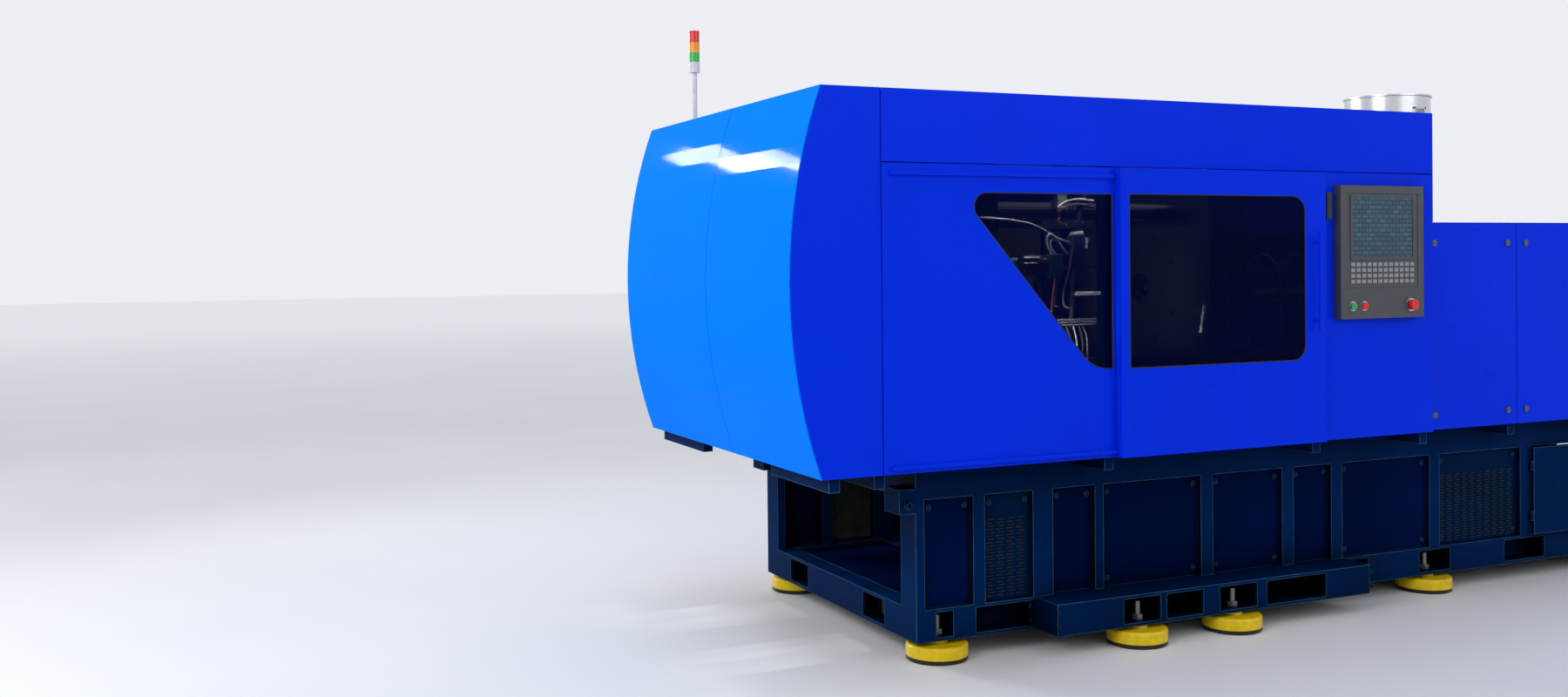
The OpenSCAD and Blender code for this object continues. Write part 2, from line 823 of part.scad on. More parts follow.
module at_corners()
    for (y = [-tie_half, tie_half])
        for (z = [axis_z - tie_half, axis_z + tie_half])
            translate([0, y, z]) children();

module tie_bores(x) at_corners() rod_x([x[0] - 1, x[1] + 1], 0, 0, tie_r + run_fit);

tap_r = 8;
tap_d = 40;
tap_near = 105;
tap_far = 210;

// Tapped holes for clamping a mould, in the face at x that looks towards dir
module mould_taps(x, dir)
    for (s = [-1, 1])
        for (t = [-1, 1])
            for (p = [[tap_near, tap_far], [tap_far, tap_near]])
                rod_x(dir < 0 ? [x - 1, x + tap_d] : [x - tap_d, x + 1], s * p[0], axis_z + t * p[1], tap_r);

robot_tap_x = 100;
robot_tap_y = 240;

module fixed_platen() {
    mid = fixed_x + fixed_t / 2;
    color(casting)
        difference() {
            union() {
                block([fixed_x, fixed_back], [-platen_w / 2, platen_w / 2], [platen_z0, platen_z0 + platen_h]);
                both_sides() block([fixed_x, fixed_back], [-475, -345], [bed_top, platen_z0 + 120]);
            }
            tie_bores([fixed_x, fixed_back]);
            rod_x([fixed_x - 1, fixed_x + locating_d], 0, axis_z, locating_r);
            translate([fixed_x + locating_d, 0, axis_z])
                rotate([0, 90, 0])
                    cylinder(r1 = 38, r2 = 115, h = fixed_t - locating_d + 1);
            mould_taps(fixed_x, -1);
            for (x = [mid - robot_tap_x / 2, mid + robot_tap_x / 2])
                for (y = [-robot_tap_y / 2, robot_tap_y / 2])
                    rod_z(x, y, [platen_z0 + platen_h - tap_d, platen_z0 + platen_h + 1], tap_r);
        }
}

tie_x0 = 150;

module tie_bars()
    color(steel)
        at_corners() {
            rod_x([tie_x0, fixed_back + 60], 0, 0, tie_r);
            rod_x([fixed_back, fixed_back + 60], 0, 0, tie_r + 27);
        }

tongue_y = [link_y + cheek_t + side_play, link_y + cheek_t + side_play + tongue_t];
cheek_ys = [[link_y, link_y + cheek_t], [tongue_y[1] + side_play, tongue_y[1] + side_play + cheek_t]];
pin_y = [link_y, tongue_y[1] + side_play + cheek_t];
cross_pin_r = 20;
cross_link_t = 36;
cross_y = [link_y - 2 - cross_link_t, link_y - 2];

// The child, drawn for the upper toggle, turned over for the lower one
module lower() translate([0, 0, 2 * axis_z]) mirror([0, 0, 1]) children();

module both_toggles() {
    children();
    lower() children();
}

// An ear that stands out along x from the face at root_x to a toggle pin
module ear(root_x, x, y)
    difference() {
        union() {
            block([min(root_x, x), max(root_x, x)], y, [axis_z + pin_half - boss_r, axis_z + pin_half + boss_r]);
            rod_y(x, y, axis_z + pin_half, boss_r);
        }
        rod_y(x, [y[0] - 1, y[1] + 1], axis_z + pin_half, pin_r + run_fit);
    }

function near(y) = [-y[1], -y[0]];

screw_bar_r = 30;
guide_r = 22;
guide_half = 140;
hub_r = 75;
pulley_r = 100;
belt_x = [195, 236];
belt_t = 4;
motor_pulley_r = 60;
motor_y = platen_w / 2 + 115;
shaft_r = 19;
ear_x = [support_x + 10, support_x + 50];
gear_back = support_x - gear_w - 2;
gear_module = 2 * tie_half * sqrt(2) / (ring_teeth + nut_teeth);
shoulder_r = gear_module * ring_teeth / 2 - 42;
pinion_z = axis_z + gear_module * (ring_teeth + pinion_teeth) / 2;
pinion_shaft_r = 12;

module toggle_support()
    color(casting)
        difference() {
            union() {
                block([support_x, support_front], [-platen_w / 2, platen_w / 2], [platen_z0, platen_z0 + platen_h]);
                both_sides() {
                    block([support_x, support_front], [-strip_y[1], -strip_y[0]], [wear_z + run_fit, platen_z0 + 1]);
                    both_toggles() ear(support_front - 1, pin_x, near(tongue_y));
                }
                rod_x([gear_back, support_x + 1], 0, axis_z, shoulder_r);
                block(ear_x, [platen_w / 2 - 1, motor_y + 105], [axis_z - 110, axis_z + 110]);
            }
            tie_bores([support_x, support_front]);
            rod_x([gear_back - 1, support_x], 0, axis_z, shoulder_r - 60);
            rod_x([support_x - 1, support_x + 30.3], 0, axis_z, hub_r + run_fit);
            rod_x([support_x, support_front + 1], 0, axis_z, screw_bar_r + 0.5);
            for (s = [-1, 1])
                rod_x([support_x - 1, support_front + 1], 0, axis_z + s * guide_half, guide_r + run_fit);
            rod_x([support_x - 1, support_front + 1], 0, pinion_z, pinion_shaft_r + run_fit);
            rod_x([ear_x[0] - 1, ear_x[1] + 1], motor_y, axis_z, shaft_r + run_fit);
        }

module rear_pins()
    color(steel)
        both_sides()
            both_toggles()
                rod_y(pin_x, near(pin_y), axis_z + pin_half, pin_r);

module clamp_motors()
    color([0.12, 0.13, 0.14]) {
        block([ear_x[1], ear_x[1] + 18], [motor_y - 95, motor_y + 95], [axis_z - 95, axis_z + 95]);
        rod_x([ear_x[1] + 18, ear_x[1] + 240], motor_y, axis_z, 88);
        rod_x([support_front, support_front + 170], 0, pinion_z, 42);
    }

// The outline of a belt round two pulleys, the second at distance d along x
function belt_outline(r1, r2, d, n = 16) =
    let (lean = acos((r1 - r2) / d))
    concat(
        [for (i = [0:2 * n]) let (a = lean + (360 - 2 * lean) * i / (2 * n)) r1 * [cos(a), sin(a)]],
        [for (i = [0:n]) let (a = -lean + 2 * lean * i / n) [d, 0] + r2 * [cos(a), sin(a)]]
    );

module clamp_belt()
    color([0.08, 0.08, 0.08])
        translate([0, 0, axis_z])
            end_plate([belt_x[0] + 3, belt_x[1] - 3])
                difference() {
                    polygon(belt_outline(pulley_r + 1 + belt_t, motor_pulley_r + 1 + belt_t, motor_y));
                    polygon(belt_outline(pulley_r + 1, motor_pulley_r + 1, motor_y));
                }

module clamp_pulley()
    color(dark_steel)
        difference() {
            union() {
                rod_x(belt_x, 0, axis_z, pulley_r);
                rod_x([belt_x[1] - 1, support_x + 30], 0, axis_z, hub_r);
            }
            rod_x([belt_x[0] - 1, support_x + 31], 0, axis_z, screw_bar_r + run_fit);
        }

module motor_pulley()
    color(dark_steel) {
        rod_x(belt_x, motor_y, axis_z, motor_pulley_r);
        rod_x([belt_x[1] - 1, ear_x[1] - 0.5], motor_y, axis_z, shaft_r);
    }

// A gear outline with straight flanks, tooth 0 pointing along x
tip_part = 0.85;
root_part = 1.15;
flank_angle = 20;
tooth_play = 0.09;

function gear_outline(teeth, m) = [
    for (i = [0:teeth - 1])
        for (p = [[-1, -root_part], [-1, tip_part], [1, tip_part], [1, -root_part]])
            let (
                half = m * (PI / 4 - tooth_play - p[1] * tan(flank_angle)),
                r = m * (teeth / 2 + p[1]),
                a = i * 360 / teeth + p[0] * asin(half / r)
            )
            r * [cos(a), sin(a)]
];

module ring_gear()
    color(dark_steel)
        translate([0, 0, axis_z])
            difference() {
                end_plate([gear_back, gear_back + gear_w]) polygon(gear_outline(ring_teeth, gear_module));
                rod_x([gear_back - 1, gear_back + gear_w + 1], 0, 0, shoulder_r + run_fit);
            }

// The nut on the tie bar at the corner sy, sz, turned so that a gap meets the ring gear's tooth
module nut_gear(sy, sz) {
    towards_ring = atan2(-sz, -sy);
    color(dark_steel)
        translate([0, sy * tie_half, axis_z + sz * tie_half])
            difference() {
                union() {
                    end_plate([gear_back, gear_back + gear_w])
                        rotate(towards_ring + 180 / nut_teeth)
                            polygon(gear_outline(nut_teeth, gear_module));
                    rod_x([gear_back - 26, gear_back + gear_w + 1.7], 0, 0, tie_r + 27);
                }
                rod_x([gear_back - 27, gear_back + gear_w + 3], 0, 0, tie_r + run_fit);
            }
}

module nut_gear_1() nut_gear(-1, -1);
module nut_gear_2() nut_gear(1, -1);
module nut_gear_3() nut_gear(1, 1);
module nut_gear_4() nut_gear(-1, 1);

module height_pinion()
    color(steel)
        translate([0, 0, pinion_z]) {
            end_plate([gear_back, gear_back + gear_w])
                rotate(-90 + 180 / pinion_teeth)
                    polygon(gear_outline(pinion_teeth, gear_module));
            rod_x([gear_back + gear_w - 1, support_front - 0.5], 0, 0, pinion_shaft_r);
        }

// Toggle

link_waist = 40;
rear_web = [62, 120];

// A link plate from the origin to reach along x, lying in the y range
module link_plate(reach, y, end_r, waist, bore_r)
    difference() {
        union() {
            for (x = [0, reach]) rod_y(x, y, 0, end_r);
            block([0, reach], y, [-waist, waist]);
        }
        for (x = [0, reach]) rod_y(x, [y[0] - 1, y[1] + 1], 0, bore_r);
    }

arm_pin = arm_l * [cos(arm_angle), sin(arm_angle)];

module rear_link_parts() {
    inner = near(cheek_ys[0]);
    link_plate(link_l, near(cheek_ys[1]), boss_r, link_waist, pin_r + run_fit);
    difference() {
        union() {
            link_plate(link_l, inner, boss_r, link_waist, pin_r + run_fit);
            side_plate(inner)
                polygon([
                    [rear_web[0], 0], [arm_pin[0] - 34, arm_pin[1]], [arm_pin[0] + 34, arm_pin[1]],
                    [link_l - 70, 0],
                ]);
            rod_y(arm_pin[0], inner, arm_pin[1], cross_pin_r + 16);
        }
        rod_y(arm_pin[0], [inner[0] - 1, inner[1] + 1], arm_pin[1], cross_pin_r + run_fit);
    }
    block(rear_web, [-cheek_ys[1][0] - 1, -cheek_ys[0][1] + 1], [-22, 22]);
}

// Each rear link carries the knee pin and the pin of the crosshead link
module rear_link()
    both_sides() {
        rear_link_parts();
        rod_y(link_l, near(pin_y), 0, pin_r);
        rod_y(arm_pin[0], [-cheek_ys[0][1], -cross_y[0]], arm_pin[1], cross_pin_r);
    }

knee = [pin_x + link_l * cos(fold), axis_z + pin_half - link_l * sin(fold)];
cross_fold = fold - arm_angle;
cross_pin = [pin_x + arm_l * cos(cross_fold), axis_z + pin_half - arm_l * sin(cross_fold)];
crosshead_x = pin_x + 2 * arm_l * cos(cross_fold);

module rear_link_upper()
    color(dark_steel)
        translate([pin_x, 0, axis_z + pin_half])
            rotate([0, fold, 0])
                rear_link();

module front_link_upper()
    color(dark_steel)
        translate([knee[0], 0, knee[1]])
            rotate([0, -fold, 0])
                both_sides()
                    link_plate(link_l, near(tongue_y), boss_r, link_waist, pin_r + run_fit);

module cross_link_upper()
    color(dark_steel)
        translate([cross_pin[0], 0, cross_pin[1]])
            rotate([0, -cross_fold, 0])
                both_sides()
                    link_plate(arm_l, near(cross_y), cross_pin_r + 14, 26, cross_pin_r + run_fit);

module rear_link_lower() lower() rear_link_upper();
module front_link_lower() lower() front_link_upper();
module cross_link_lower() lower() cross_link_upper();

head_half = 38;
clamp_screw_l = 720;
guide_l = 620;

module crosshead()
    color(casting) {
        difference() {
            union() {
                block([crosshead_x - head_half, crosshead_x + head_half], [-90, 90], [axis_z - 180, axis_z + 180]);
                both_toggles() {
                    block(
                        [crosshead_x - 28, crosshead_x + 28],
                        [-60, 60],
                        [axis_z + 179, axis_z + pin_half]
                    );
                    rod_y(crosshead_x, [-cross_y[0] + 1, cross_y[0] - 1], axis_z + pin_half, head_half);
                    rod_y(crosshead_x, [-cross_y[1], cross_y[1]], axis_z + pin_half, cross_pin_r);
                }
            }
            rod_x([crosshead_x - head_half - 1, crosshead_x + head_half + 1], 0, axis_z, screw_bar_r + run_fit);
            for (s = [-1, 1])
                rod_x(
                    [crosshead_x - head_half - 1, crosshead_x + head_half + 1],
                    0, axis_z + s * guide_half, guide_r + run_fit
                );
        }
        for (s = [-1, 1])
            rod_x([crosshead_x - guide_l, crosshead_x + head_half], 0, axis_z + s * guide_half, guide_r);
    }

module clamp_screw()
    color(steel) {
        rod_x([crosshead_x - clamp_screw_l, crosshead_x + head_half + 14], 0, axis_z, screw_bar_r);
        rod_x([crosshead_x + head_half, crosshead_x + head_half + 14], 0, axis_z, 48);
    }

ejector_well = [110, 145];
ejector_t = 35;
ejector_rod_r = 12;
ejector_spots = [[0, 0], [-70, -70], [70, -70], [70, 70], [-70, 70]];

module moving_platen()
    color(casting)
        difference() {
            union() {
                block([moving_x, moving_front], [-platen_w / 2, platen_w / 2], [platen_z0, platen_z0 + platen_h]);
                both_sides() {
                    block([moving_x, moving_front], [-strip_y[1], -strip_y[0]], [wear_z + run_fit, platen_z0 + 1]);
                    both_toggles()
                        for (y = cheek_ys) ear(moving_x + 1, open_pin_x, near(y));
                }
            }
            tie_bores([moving_x, moving_front]);
            block(
                [moving_x - 1, moving_x + ejector_well[1]],
                [-ejector_well[0], ejector_well[0]],
                [axis_z - ejector_well[0], axis_z + ejector_well[0]]
            );
            for (p = ejector_spots)
                rod_x([moving_x, moving_front + 1], p[0], axis_z + p[1], ejector_rod_r + run_fit);
            mould_taps(moving_front, 1);
        }

module platen_pins()
    color(steel)
        both_sides()
            both_toggles()
                rod_y(open_pin_x, near(pin_y), axis_z + pin_half, pin_r);

module ejector()
    color(steel) {
        block(
            [moving_x + 4, moving_x + 4 + ejector_t],
            [-ejector_well[0] + 5, ejector_well[0] - 5],
            [axis_z - ejector_well[0] + 5, axis_z + ejector_well[0] - 5]
        );
        for (p = ejector_spots)
            rod_x([moving_x + ejector_t, moving_front - 4], p[0], axis_z + p[1], ejector_rod_r);
    }

// Injection unit

nozzle_x = fixed_x + locating_d + 2;
barrel_x0 = fixed_x + 145;
tip_l = 53;
front_plate = [front_plate_x, front_plate_x + front_plate_t];
pressure_t = 120;
pressure_gap = 640;
pressure_x = [front_plate[1] + pressure_gap, front_plate[1] + pressure_gap + pressure_t];
rear_plate = [pressure_x[1] + screw_travel + 40, pressure_x[1] + screw_travel + 160];
bar_r = 30;
bar_y = 240;
bar_z = 172;
bar_wall = 20;
pressure_half_z = bar_z + bar_r + bar_wall;
unit_half = 330;
unit_z = [960, axis_z + 240];
throat_r = 35;
inj_screw_r = 32;
rail_grip = 50;
rail_play = 0.1;

module unit_bars(x, r)
    for (y = [-bar_y, bar_y])
        for (z = [axis_z - bar_z, axis_z + bar_z])
            rod_x(x, y, z, r);

module injection_carriage() {
    color(casting)
        difference() {
            union() {
                block([front_plate[0] - 20, rear_plate[1] + 20], [-400, 400], [900, unit_z[0]]);
                for (x = [front_plate, rear_plate])
                    block(x, [-unit_half, unit_half], [unit_z[0] + weld, unit_z[1]]);
            }
            rod_x([front_plate[0] - 1, front_plate[1] + 1], 0, axis_z, barrel_r + run_fit);
            rod_z(hopper_x, 0, [axis_z, unit_z[1] + 1], throat_r);
            rod_x([rear_plate[0] - 1, rear_plate[1] + 1], 0, axis_z, inj_screw_r + run_fit);
            unit_bars([front_plate[0] - 1, rear_plate[1] + 1], bar_r + run_fit);
        }
    color(steel)
        unit_bars([front_plate[0], rear_plate[1]], bar_r);
    color(dark_steel)
        both_sides()
            for (x = [front_plate[0], rear_plate[1] - 120])
                difference() {
                    block(
                        [x, x + 120],
                        [-inj_rail_y[1] - 20, -inj_rail_y[0] + 20],
                        [bed_top + 4, 900 - weld]
                    );
                    block(
                        [x - 1, x + 121],
                        [-inj_rail_y[1] - rail_play, -inj_rail_y[0] + rail_play],
                        [bed_top, bed_top + inj_rail_h + rail_play]
                    );
                }
}

screw_bore = screw_r + run_fit;

module barrel() {
    color(steel)
        difference() {
            union() {
                translate([nozzle_x, 0, axis_z]) rotate([0, 90, 0]) cylinder(r1 = 12, r2 = 30, h = tip_l);
                translate([nozzle_x + tip_l, 0, axis_z]) rotate([0, 90, 0]) cylinder(r = 33, h = 60, $fn = 6);
                rod_x([barrel_x0, front_plate[1] + 40], 0, axis_z, barrel_r);
            }
            rod_x([nozzle_x - 1, nozzle_x + tip_l], 0, axis_z, 3);
            rod_x([nozzle_x + tip_l - 1, barrel_x0], 0, axis_z, 10);
            rod_x([barrel_x0 - 0.5, front_plate[1] + 41], 0, axis_z, screw_bore);
            rod_z(hopper_x, 0, [axis_z, axis_z + barrel_r + 1], throat_r - 10);
        }
}

band_l = 150;
band_gap = 45;
band_t = 14;

module heater_bands() {
    count = floor((barrel_l - 60) / (band_l + band_gap));
    color([0.72, 0.68, 0.6])
        for (i = [0:count - 1])
            translate([barrel_x0 + 25 + i * (band_l + band_gap), 0, axis_z])
                difference() {
                    union() {
                        rod_x([0, band_l], 0, 0, barrel_r + band_t);
                        block([band_l / 2 - 25, band_l / 2 + 25], [-20, 20], [barrel_r, barrel_r + band_t + 28]);
                    }
                    rod_x([-1, band_l + 1], 0, 0, barrel_r + run_fit);
                }
}

module injection_motor()
    color([0.12, 0.13, 0.14])
        difference() {
            rod_x([rear_plate[1], rear_plate[1] + 230], 0, axis_z, 145);
            rod_x([rear_plate[1] - 1, rear_plate[1] + 231], 0, axis_z, inj_screw_r + 1);
        }

ball_screw_l = 660;
drive_l = 170;

// The plate that pushes the screw, with its hollow screw drive and its ball screw
module pressure_plate() {
    color(casting)
        difference() {
            block(
                pressure_x,
                [-unit_half + 20, unit_half - 20],
                [axis_z - pressure_half_z, axis_z + pressure_half_z]
            );
            rod_x([pressure_x[0] - 1, pressure_x[0] + 80], 0, axis_z, screw_r + 20 + run_fit);
            unit_bars([pressure_x[0] - 1, pressure_x[1] + 1], bar_r + run_fit);
        }
    color([0.12, 0.13, 0.14])
        difference() {
            rod_x([pressure_x[0] - drive_l, pressure_x[0]], 0, axis_z, 135);
            rod_x([pressure_x[0] - drive_l - 1, pressure_x[0] + 1], 0, axis_z, screw_r + 20 + run_fit);
        }
    color(steel)
        rod_x([pressure_x[1], pressure_x[1] + ball_screw_l], 0, axis_z, inj_screw_r);
}

screw_tip = 40;

module screw()
    color(steel) {
        translate([barrel_x0 + 10, 0, axis_z])
            rotate([0, 90, 0])
                cylinder(r1 = 4, r2 = screw_r, h = screw_tip);
        rod_x([barrel_x0 + 10 + screw_tip, pressure_x[0] - drive_l + 1], 0, axis_z, screw_r);
        rod_x([pressure_x[0] - drive_l, pressure_x[0] + 79.5], 0, axis_z, screw_r + 20);
    }

throat_h = 110;
hopper_z = unit_z[1] + throat_h;
slot_z = unit_z[1] + 50;
slide_t = 8;
slide_play = 0.5;
cone_h = 0.45 * hopper_h;
hopper_t = 3;
lid_hinge = [hopper_x + hopper_r + 16, hopper_z + hopper_h + 6];
lid_ear_y = [42, 54];

module hopper() {
    color(casting)
        difference() {
            block(
                [hopper_x - throat_half, hopper_x + throat_half],
                [-throat_half, throat_half],
                [unit_z[1], hopper_z]
            );
            rod_z(hopper_x, 0, [unit_z[1] - 1, hopper_z + 1], throat_r);
            block(
                [hopper_x - throat_r - 12, hopper_x + throat_r + 12],
                [-throat_half - 1, throat_r + 12],
                [slot_z - slide_play, slot_z + slide_t + slide_play]
            );
        }
    color(steel)
        both_sides()
            difference() {
                union() {
                    block(
                        [hopper_x + hopper_r - 20, lid_hinge[0] + 9],
                        [-lid_ear_y[1], -lid_ear_y[0]],
                        [lid_hinge[1] - 34, lid_hinge[1] - 9]
                    );
                    block(
                        [lid_hinge[0] - 9, lid_hinge[0] + 9],
                        [-lid_ear_y[1], -lid_ear_y[0]],
                        [lid_hinge[1] - 10, lid_hinge[1]]
                    );
                    rod_y(lid_hinge[0], [-lid_ear_y[1], -lid_ear_y[0]], lid_hinge[1], 9);
                }
                rod_y(lid_hinge[0], [-lid_ear_y[1] - 1, 0], lid_hinge[1], 6 + run_fit);
                translate([hopper_x, 0, lid_hinge[1] - 40]) cylinder(r = hopper_r + weld, h = 60);
            }
    color([0.8, 0.82, 0.84])
        translate([hopper_x, 0, hopper_z])
            rotate_extrude() {
                translate([hopper_r - hopper_t, cone_h + weld])
                    square([hopper_t, hopper_h - cone_h - weld]);
                polygon([
                    [throat_r + 2, weld], [throat_half, weld], [throat_half, 8], [throat_r + 2 + hopper_t, 8],
                    [hopper_r, cone_h], [hopper_r - hopper_t, cone_h], [throat_r + 2, 8],
                ]);
            }
}

// The slide closes the throat, and is open when it is drawn out towards the operator
module shutoff_slide()
    color(steel) {
        block(
            [hopper_x - throat_r - 11.5, hopper_x + throat_r + 11.5],
            [-throat_half - 40, throat_r + 11.5],
            [slot_z, slot_z + slide_t]
        );
        block(
            [hopper_x - 30, hopper_x + 30],
            [-throat_half - 52, -throat_half - 40],
            [slot_z - 14, slot_z + slide_t + 14]
        );
    }

module hopper_lid()
    color([0.8, 0.82, 0.84]) {
        translate([hopper_x, 0, hopper_z + hopper_h + 0.5])
            cylinder(r = hopper_r + 6, h = 8);
        translate([hopper_x, 0, hopper_z + hopper_h + 8.5])
            cylinder(r = 16, h = 22);
        block([hopper_x + hopper_r - 20, lid_hinge[0]], [-40, 40], [hopper_z + hopper_h + 2, hopper_z + hopper_h + 8]);
        rod_y(lid_hinge[0], [-lid_ear_y[1], lid_ear_y[1]], lid_hinge[1], 6);
    }

from_clamp_end() base_frame();
from_clamp_end() base_panels();
from_clamp_end() vent_panels();
from_clamp_end() cabinet_door();
from_clamp_end() levelling_pads();
from_clamp_end() levelling_bolts();
from_clamp_end() slide_rails();
from_clamp_end() cover_frame();
from_clamp_end() end_cover_near();
from_clamp_end() end_cover_far();
from_clamp_end() side_covers();
from_clamp_end() side_windows();
from_clamp_end() header_panels();
from_clamp_end() top_covers();
from_clamp_end() injection_covers();
from_clamp_end() gate_tracks();
from_clamp_end() front_gate();
from_clamp_end() front_window();
from_clamp_end() rear_gate();
from_clamp_end() rear_window();
from_clamp_end() signal_tower();
from_clamp_end() control_panel();
from_clamp_end() start_button();
from_clamp_end() stop_button();
from_clamp_end() e_stop();
from_clamp_end() fixed_platen();
from_clamp_end() tie_bars();
from_clamp_end() toggle_support();
from_clamp_end() rear_pins();
from_clamp_end() clamp_motors();
from_clamp_end() clamp_belt();
from_clamp_end() clamp_pulley();
from_clamp_end() motor_pulley();
from_clamp_end() ring_gear();
from_clamp_end() nut_gear_1();
from_clamp_end() nut_gear_2();
from_clamp_end() nut_gear_3();
from_clamp_end() nut_gear_4();
from_clamp_end() height_pinion();
from_clamp_end() rear_link_upper();
from_clamp_end() front_link_upper();
from_clamp_end() rear_link_lower();
from_clamp_end() front_link_lower();
from_clamp_end() crosshead();
from_clamp_end() clamp_screw();
from_clamp_end() cross_link_upper();
from_clamp_end() cross_link_lower();
from_clamp_end() moving_platen();
from_clamp_end() platen_pins();
from_clamp_end() ejector();
from_clamp_end() injection_carriage();
from_clamp_end() barrel();
from_clamp_end() heater_bands();
from_clamp_end() injection_motor();
from_clamp_end() pressure_plate();
from_clamp_end() screw();
from_clamp_end() hopper();
from_clamp_end() hopper_lid();
from_clamp_end() shutoff_slide();
from_clamp_end() purge_guard();
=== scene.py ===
"""Looks of an electric injection moulding machine: camera, light, materials and small dressed pieces.

Places are written as the part's own layout does: x in millimetres from the clamp end, y from the
middle (the operator side is negative) and z from the floor. at() turns them into the shared frame.
"""

import math

import bmesh
import bpy
from mathutils import Matrix, Vector


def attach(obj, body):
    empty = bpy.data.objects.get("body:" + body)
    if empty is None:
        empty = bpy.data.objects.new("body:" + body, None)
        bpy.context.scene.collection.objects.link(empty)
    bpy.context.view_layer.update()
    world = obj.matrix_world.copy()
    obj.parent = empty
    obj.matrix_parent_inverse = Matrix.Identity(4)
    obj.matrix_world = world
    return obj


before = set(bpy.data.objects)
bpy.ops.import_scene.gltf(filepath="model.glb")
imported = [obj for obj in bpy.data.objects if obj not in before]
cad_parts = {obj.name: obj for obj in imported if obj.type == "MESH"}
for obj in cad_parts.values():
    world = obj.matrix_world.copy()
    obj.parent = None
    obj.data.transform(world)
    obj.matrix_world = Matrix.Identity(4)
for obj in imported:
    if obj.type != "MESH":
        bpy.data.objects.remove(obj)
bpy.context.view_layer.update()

# Main sizes, in millimetres
MACHINE_L = 5600
HALF_W = 845
WINDOW_Z = (1030, 1655)
AXIS_Z = 1300
TIE_HALF = 305

# How far the faces of the base and of the injection end's covers lie from the middle
BASE_FACE_Y = 635
SILL_FACE_Y = 655
STEP_FACE_Y = 795
INJECTION_FACE_Y = 800

# The two long sides: the sign of y, and the word in the names of their pieces
SIDES = ((-1, "front"), (1, "rear"))

# One millimetre in metres
MM = 0.001


def at(x, y, z):
    """The point of the shared frame, in metres, for layout millimetres."""
    return Vector(((x - MACHINE_L / 2) / 1000, y / 1000, z / 1000))


def between(side, near, far):
    """The two y limits, in order, of something that lies near to far from the middle on that side."""
    return sorted((side * near, side * far))


# Materials

# The photograph's paints keep their full colour even at a slant, so their gloss is kept weak
PAINT_IOR = 1.22


def new_material(name):
    """A new material with its node tree and its main shader."""
    material = bpy.data.materials.new(name)
    material.use_nodes = True
    tree = material.node_tree
    shader = tree.nodes["Principled BSDF"]
    return material, tree, shader


def noise(tree, scale, detail=3.0, roughness=0.5, stretch=(1, 1, 1)):
    """A noise node over the object's own coordinates."""
    coords = tree.nodes.new("ShaderNodeTexCoord")
    mapping = tree.nodes.new("ShaderNodeMapping")
    mapping.inputs["Scale"].default_value = stretch
    node = tree.nodes.new("ShaderNodeTexNoise")
    node.inputs["Scale"].default_value = scale
    node.inputs["Detail"].default_value = detail
    node.inputs["Roughness"].default_value = roughness
    tree.links.new(coords.outputs["Object"], mapping.inputs["Vector"])
    tree.links.new(mapping.outputs["Vector"], node.inputs["Vector"])
    return node


def ramp(tree, source, stops):
    """A colour ramp fed by source; stops are (place, colour)."""
    node = tree.nodes.new("ShaderNodeValToRGB")
    elements = node.color_ramp.elements
    while len(elements) < len(stops):
        elements.new(0.5)
    for element, (place, colour) in zip(elements, stops):
        element.position = place
        element.color = (*colour, 1)
    tree.links.new(source, node.inputs["Fac"])
    return node


def spread(tree, source, low, high):
    """A number that runs from low to high as source runs from 0.3 to 0.7."""
    node = tree.nodes.new("ShaderNodeMapRange")
    node.inputs["From Min"].default_value = 0.3
    node.inputs["From Max"].default_value = 0.7
    node.inputs["To Min"].default_value = low
    node.inputs["To Max"].default_value = high
    tree.links.new(source, node.inputs["Value"])
    return node.outputs["Result"]


def shade(colour, factor):
    """The colour made lighter or darker by the factor, up to full."""
    return tuple(min(1.0, c * factor) for c in colour)


def soft_edges(tree, shader, radius, height=None, strength=0.0, distance=0.001):
    """Rounds the look of sharp edges, and adds a fine bump where height is given."""
    bevel = tree.nodes.new("ShaderNodeBevel")
    bevel.samples = 4
    bevel.inputs["Radius"].default_value = radius
    if height is None:
        tree.links.new(bevel.outputs["Normal"], shader.inputs["Normal"])
        return
    bump = tree.nodes.new("ShaderNodeBump")
    bump.inputs["Strength"].default_value = strength
    bump.inputs["Distance"].default_value = distance
    tree.links.new(height, bump.inputs["Height"])
    tree.links.new(bevel.outputs["Normal"], bump.inputs["Normal"])
    tree.links.new(bump.outputs["Normal"], shader.inputs["Normal"])


def edge_mask(tree, radius, low, high):
    """1 along sharp edges and 0 on flat faces, from how far a bevel would turn the normal."""
    bevel = tree.nodes.new("ShaderNodeBevel")
    bevel.samples = 6
    bevel.inputs["Radius"].default_value = radius
    geometry = tree.nodes.new("ShaderNodeNewGeometry")
    turn = tree.nodes.new("ShaderNodeVectorMath")
    turn.operation = "DOT_PRODUCT"
    tree.links.new(bevel.outputs["Normal"], turn.inputs[0])
    tree.links.new(geometry.outputs["Normal"], turn.inputs[1])
    mask = tree.nodes.new("ShaderNodeMapRange")
    mask.inputs["From Min"].default_value = high
    mask.inputs["From Max"].default_value = low
    tree.links.new(turn.outputs["Value"], mask.inputs["Value"])
    return mask.outputs["Result"]


def mixed(tree, factor, source, colour):
    """The source's colour where factor is 0, and the plain colour where it is 1."""
    node = tree.nodes.new("ShaderNodeMix")
    node.data_type = "RGBA"
    tree.links.new(factor, node.inputs["Factor"])
    tree.links.new(source, node.inputs["A"])
    node.inputs["B"].default_value = (*colour, 1)
    return node.outputs["Result"]


def product(tree, a, b):
    """The product of two numbers."""
    node = tree.nodes.new("ShaderNodeMath")
    node.operation = "MULTIPLY"
    tree.links.new(a, node.inputs[0])
    tree.links.new(b, node.inputs[1])
    return node.outputs["Value"]


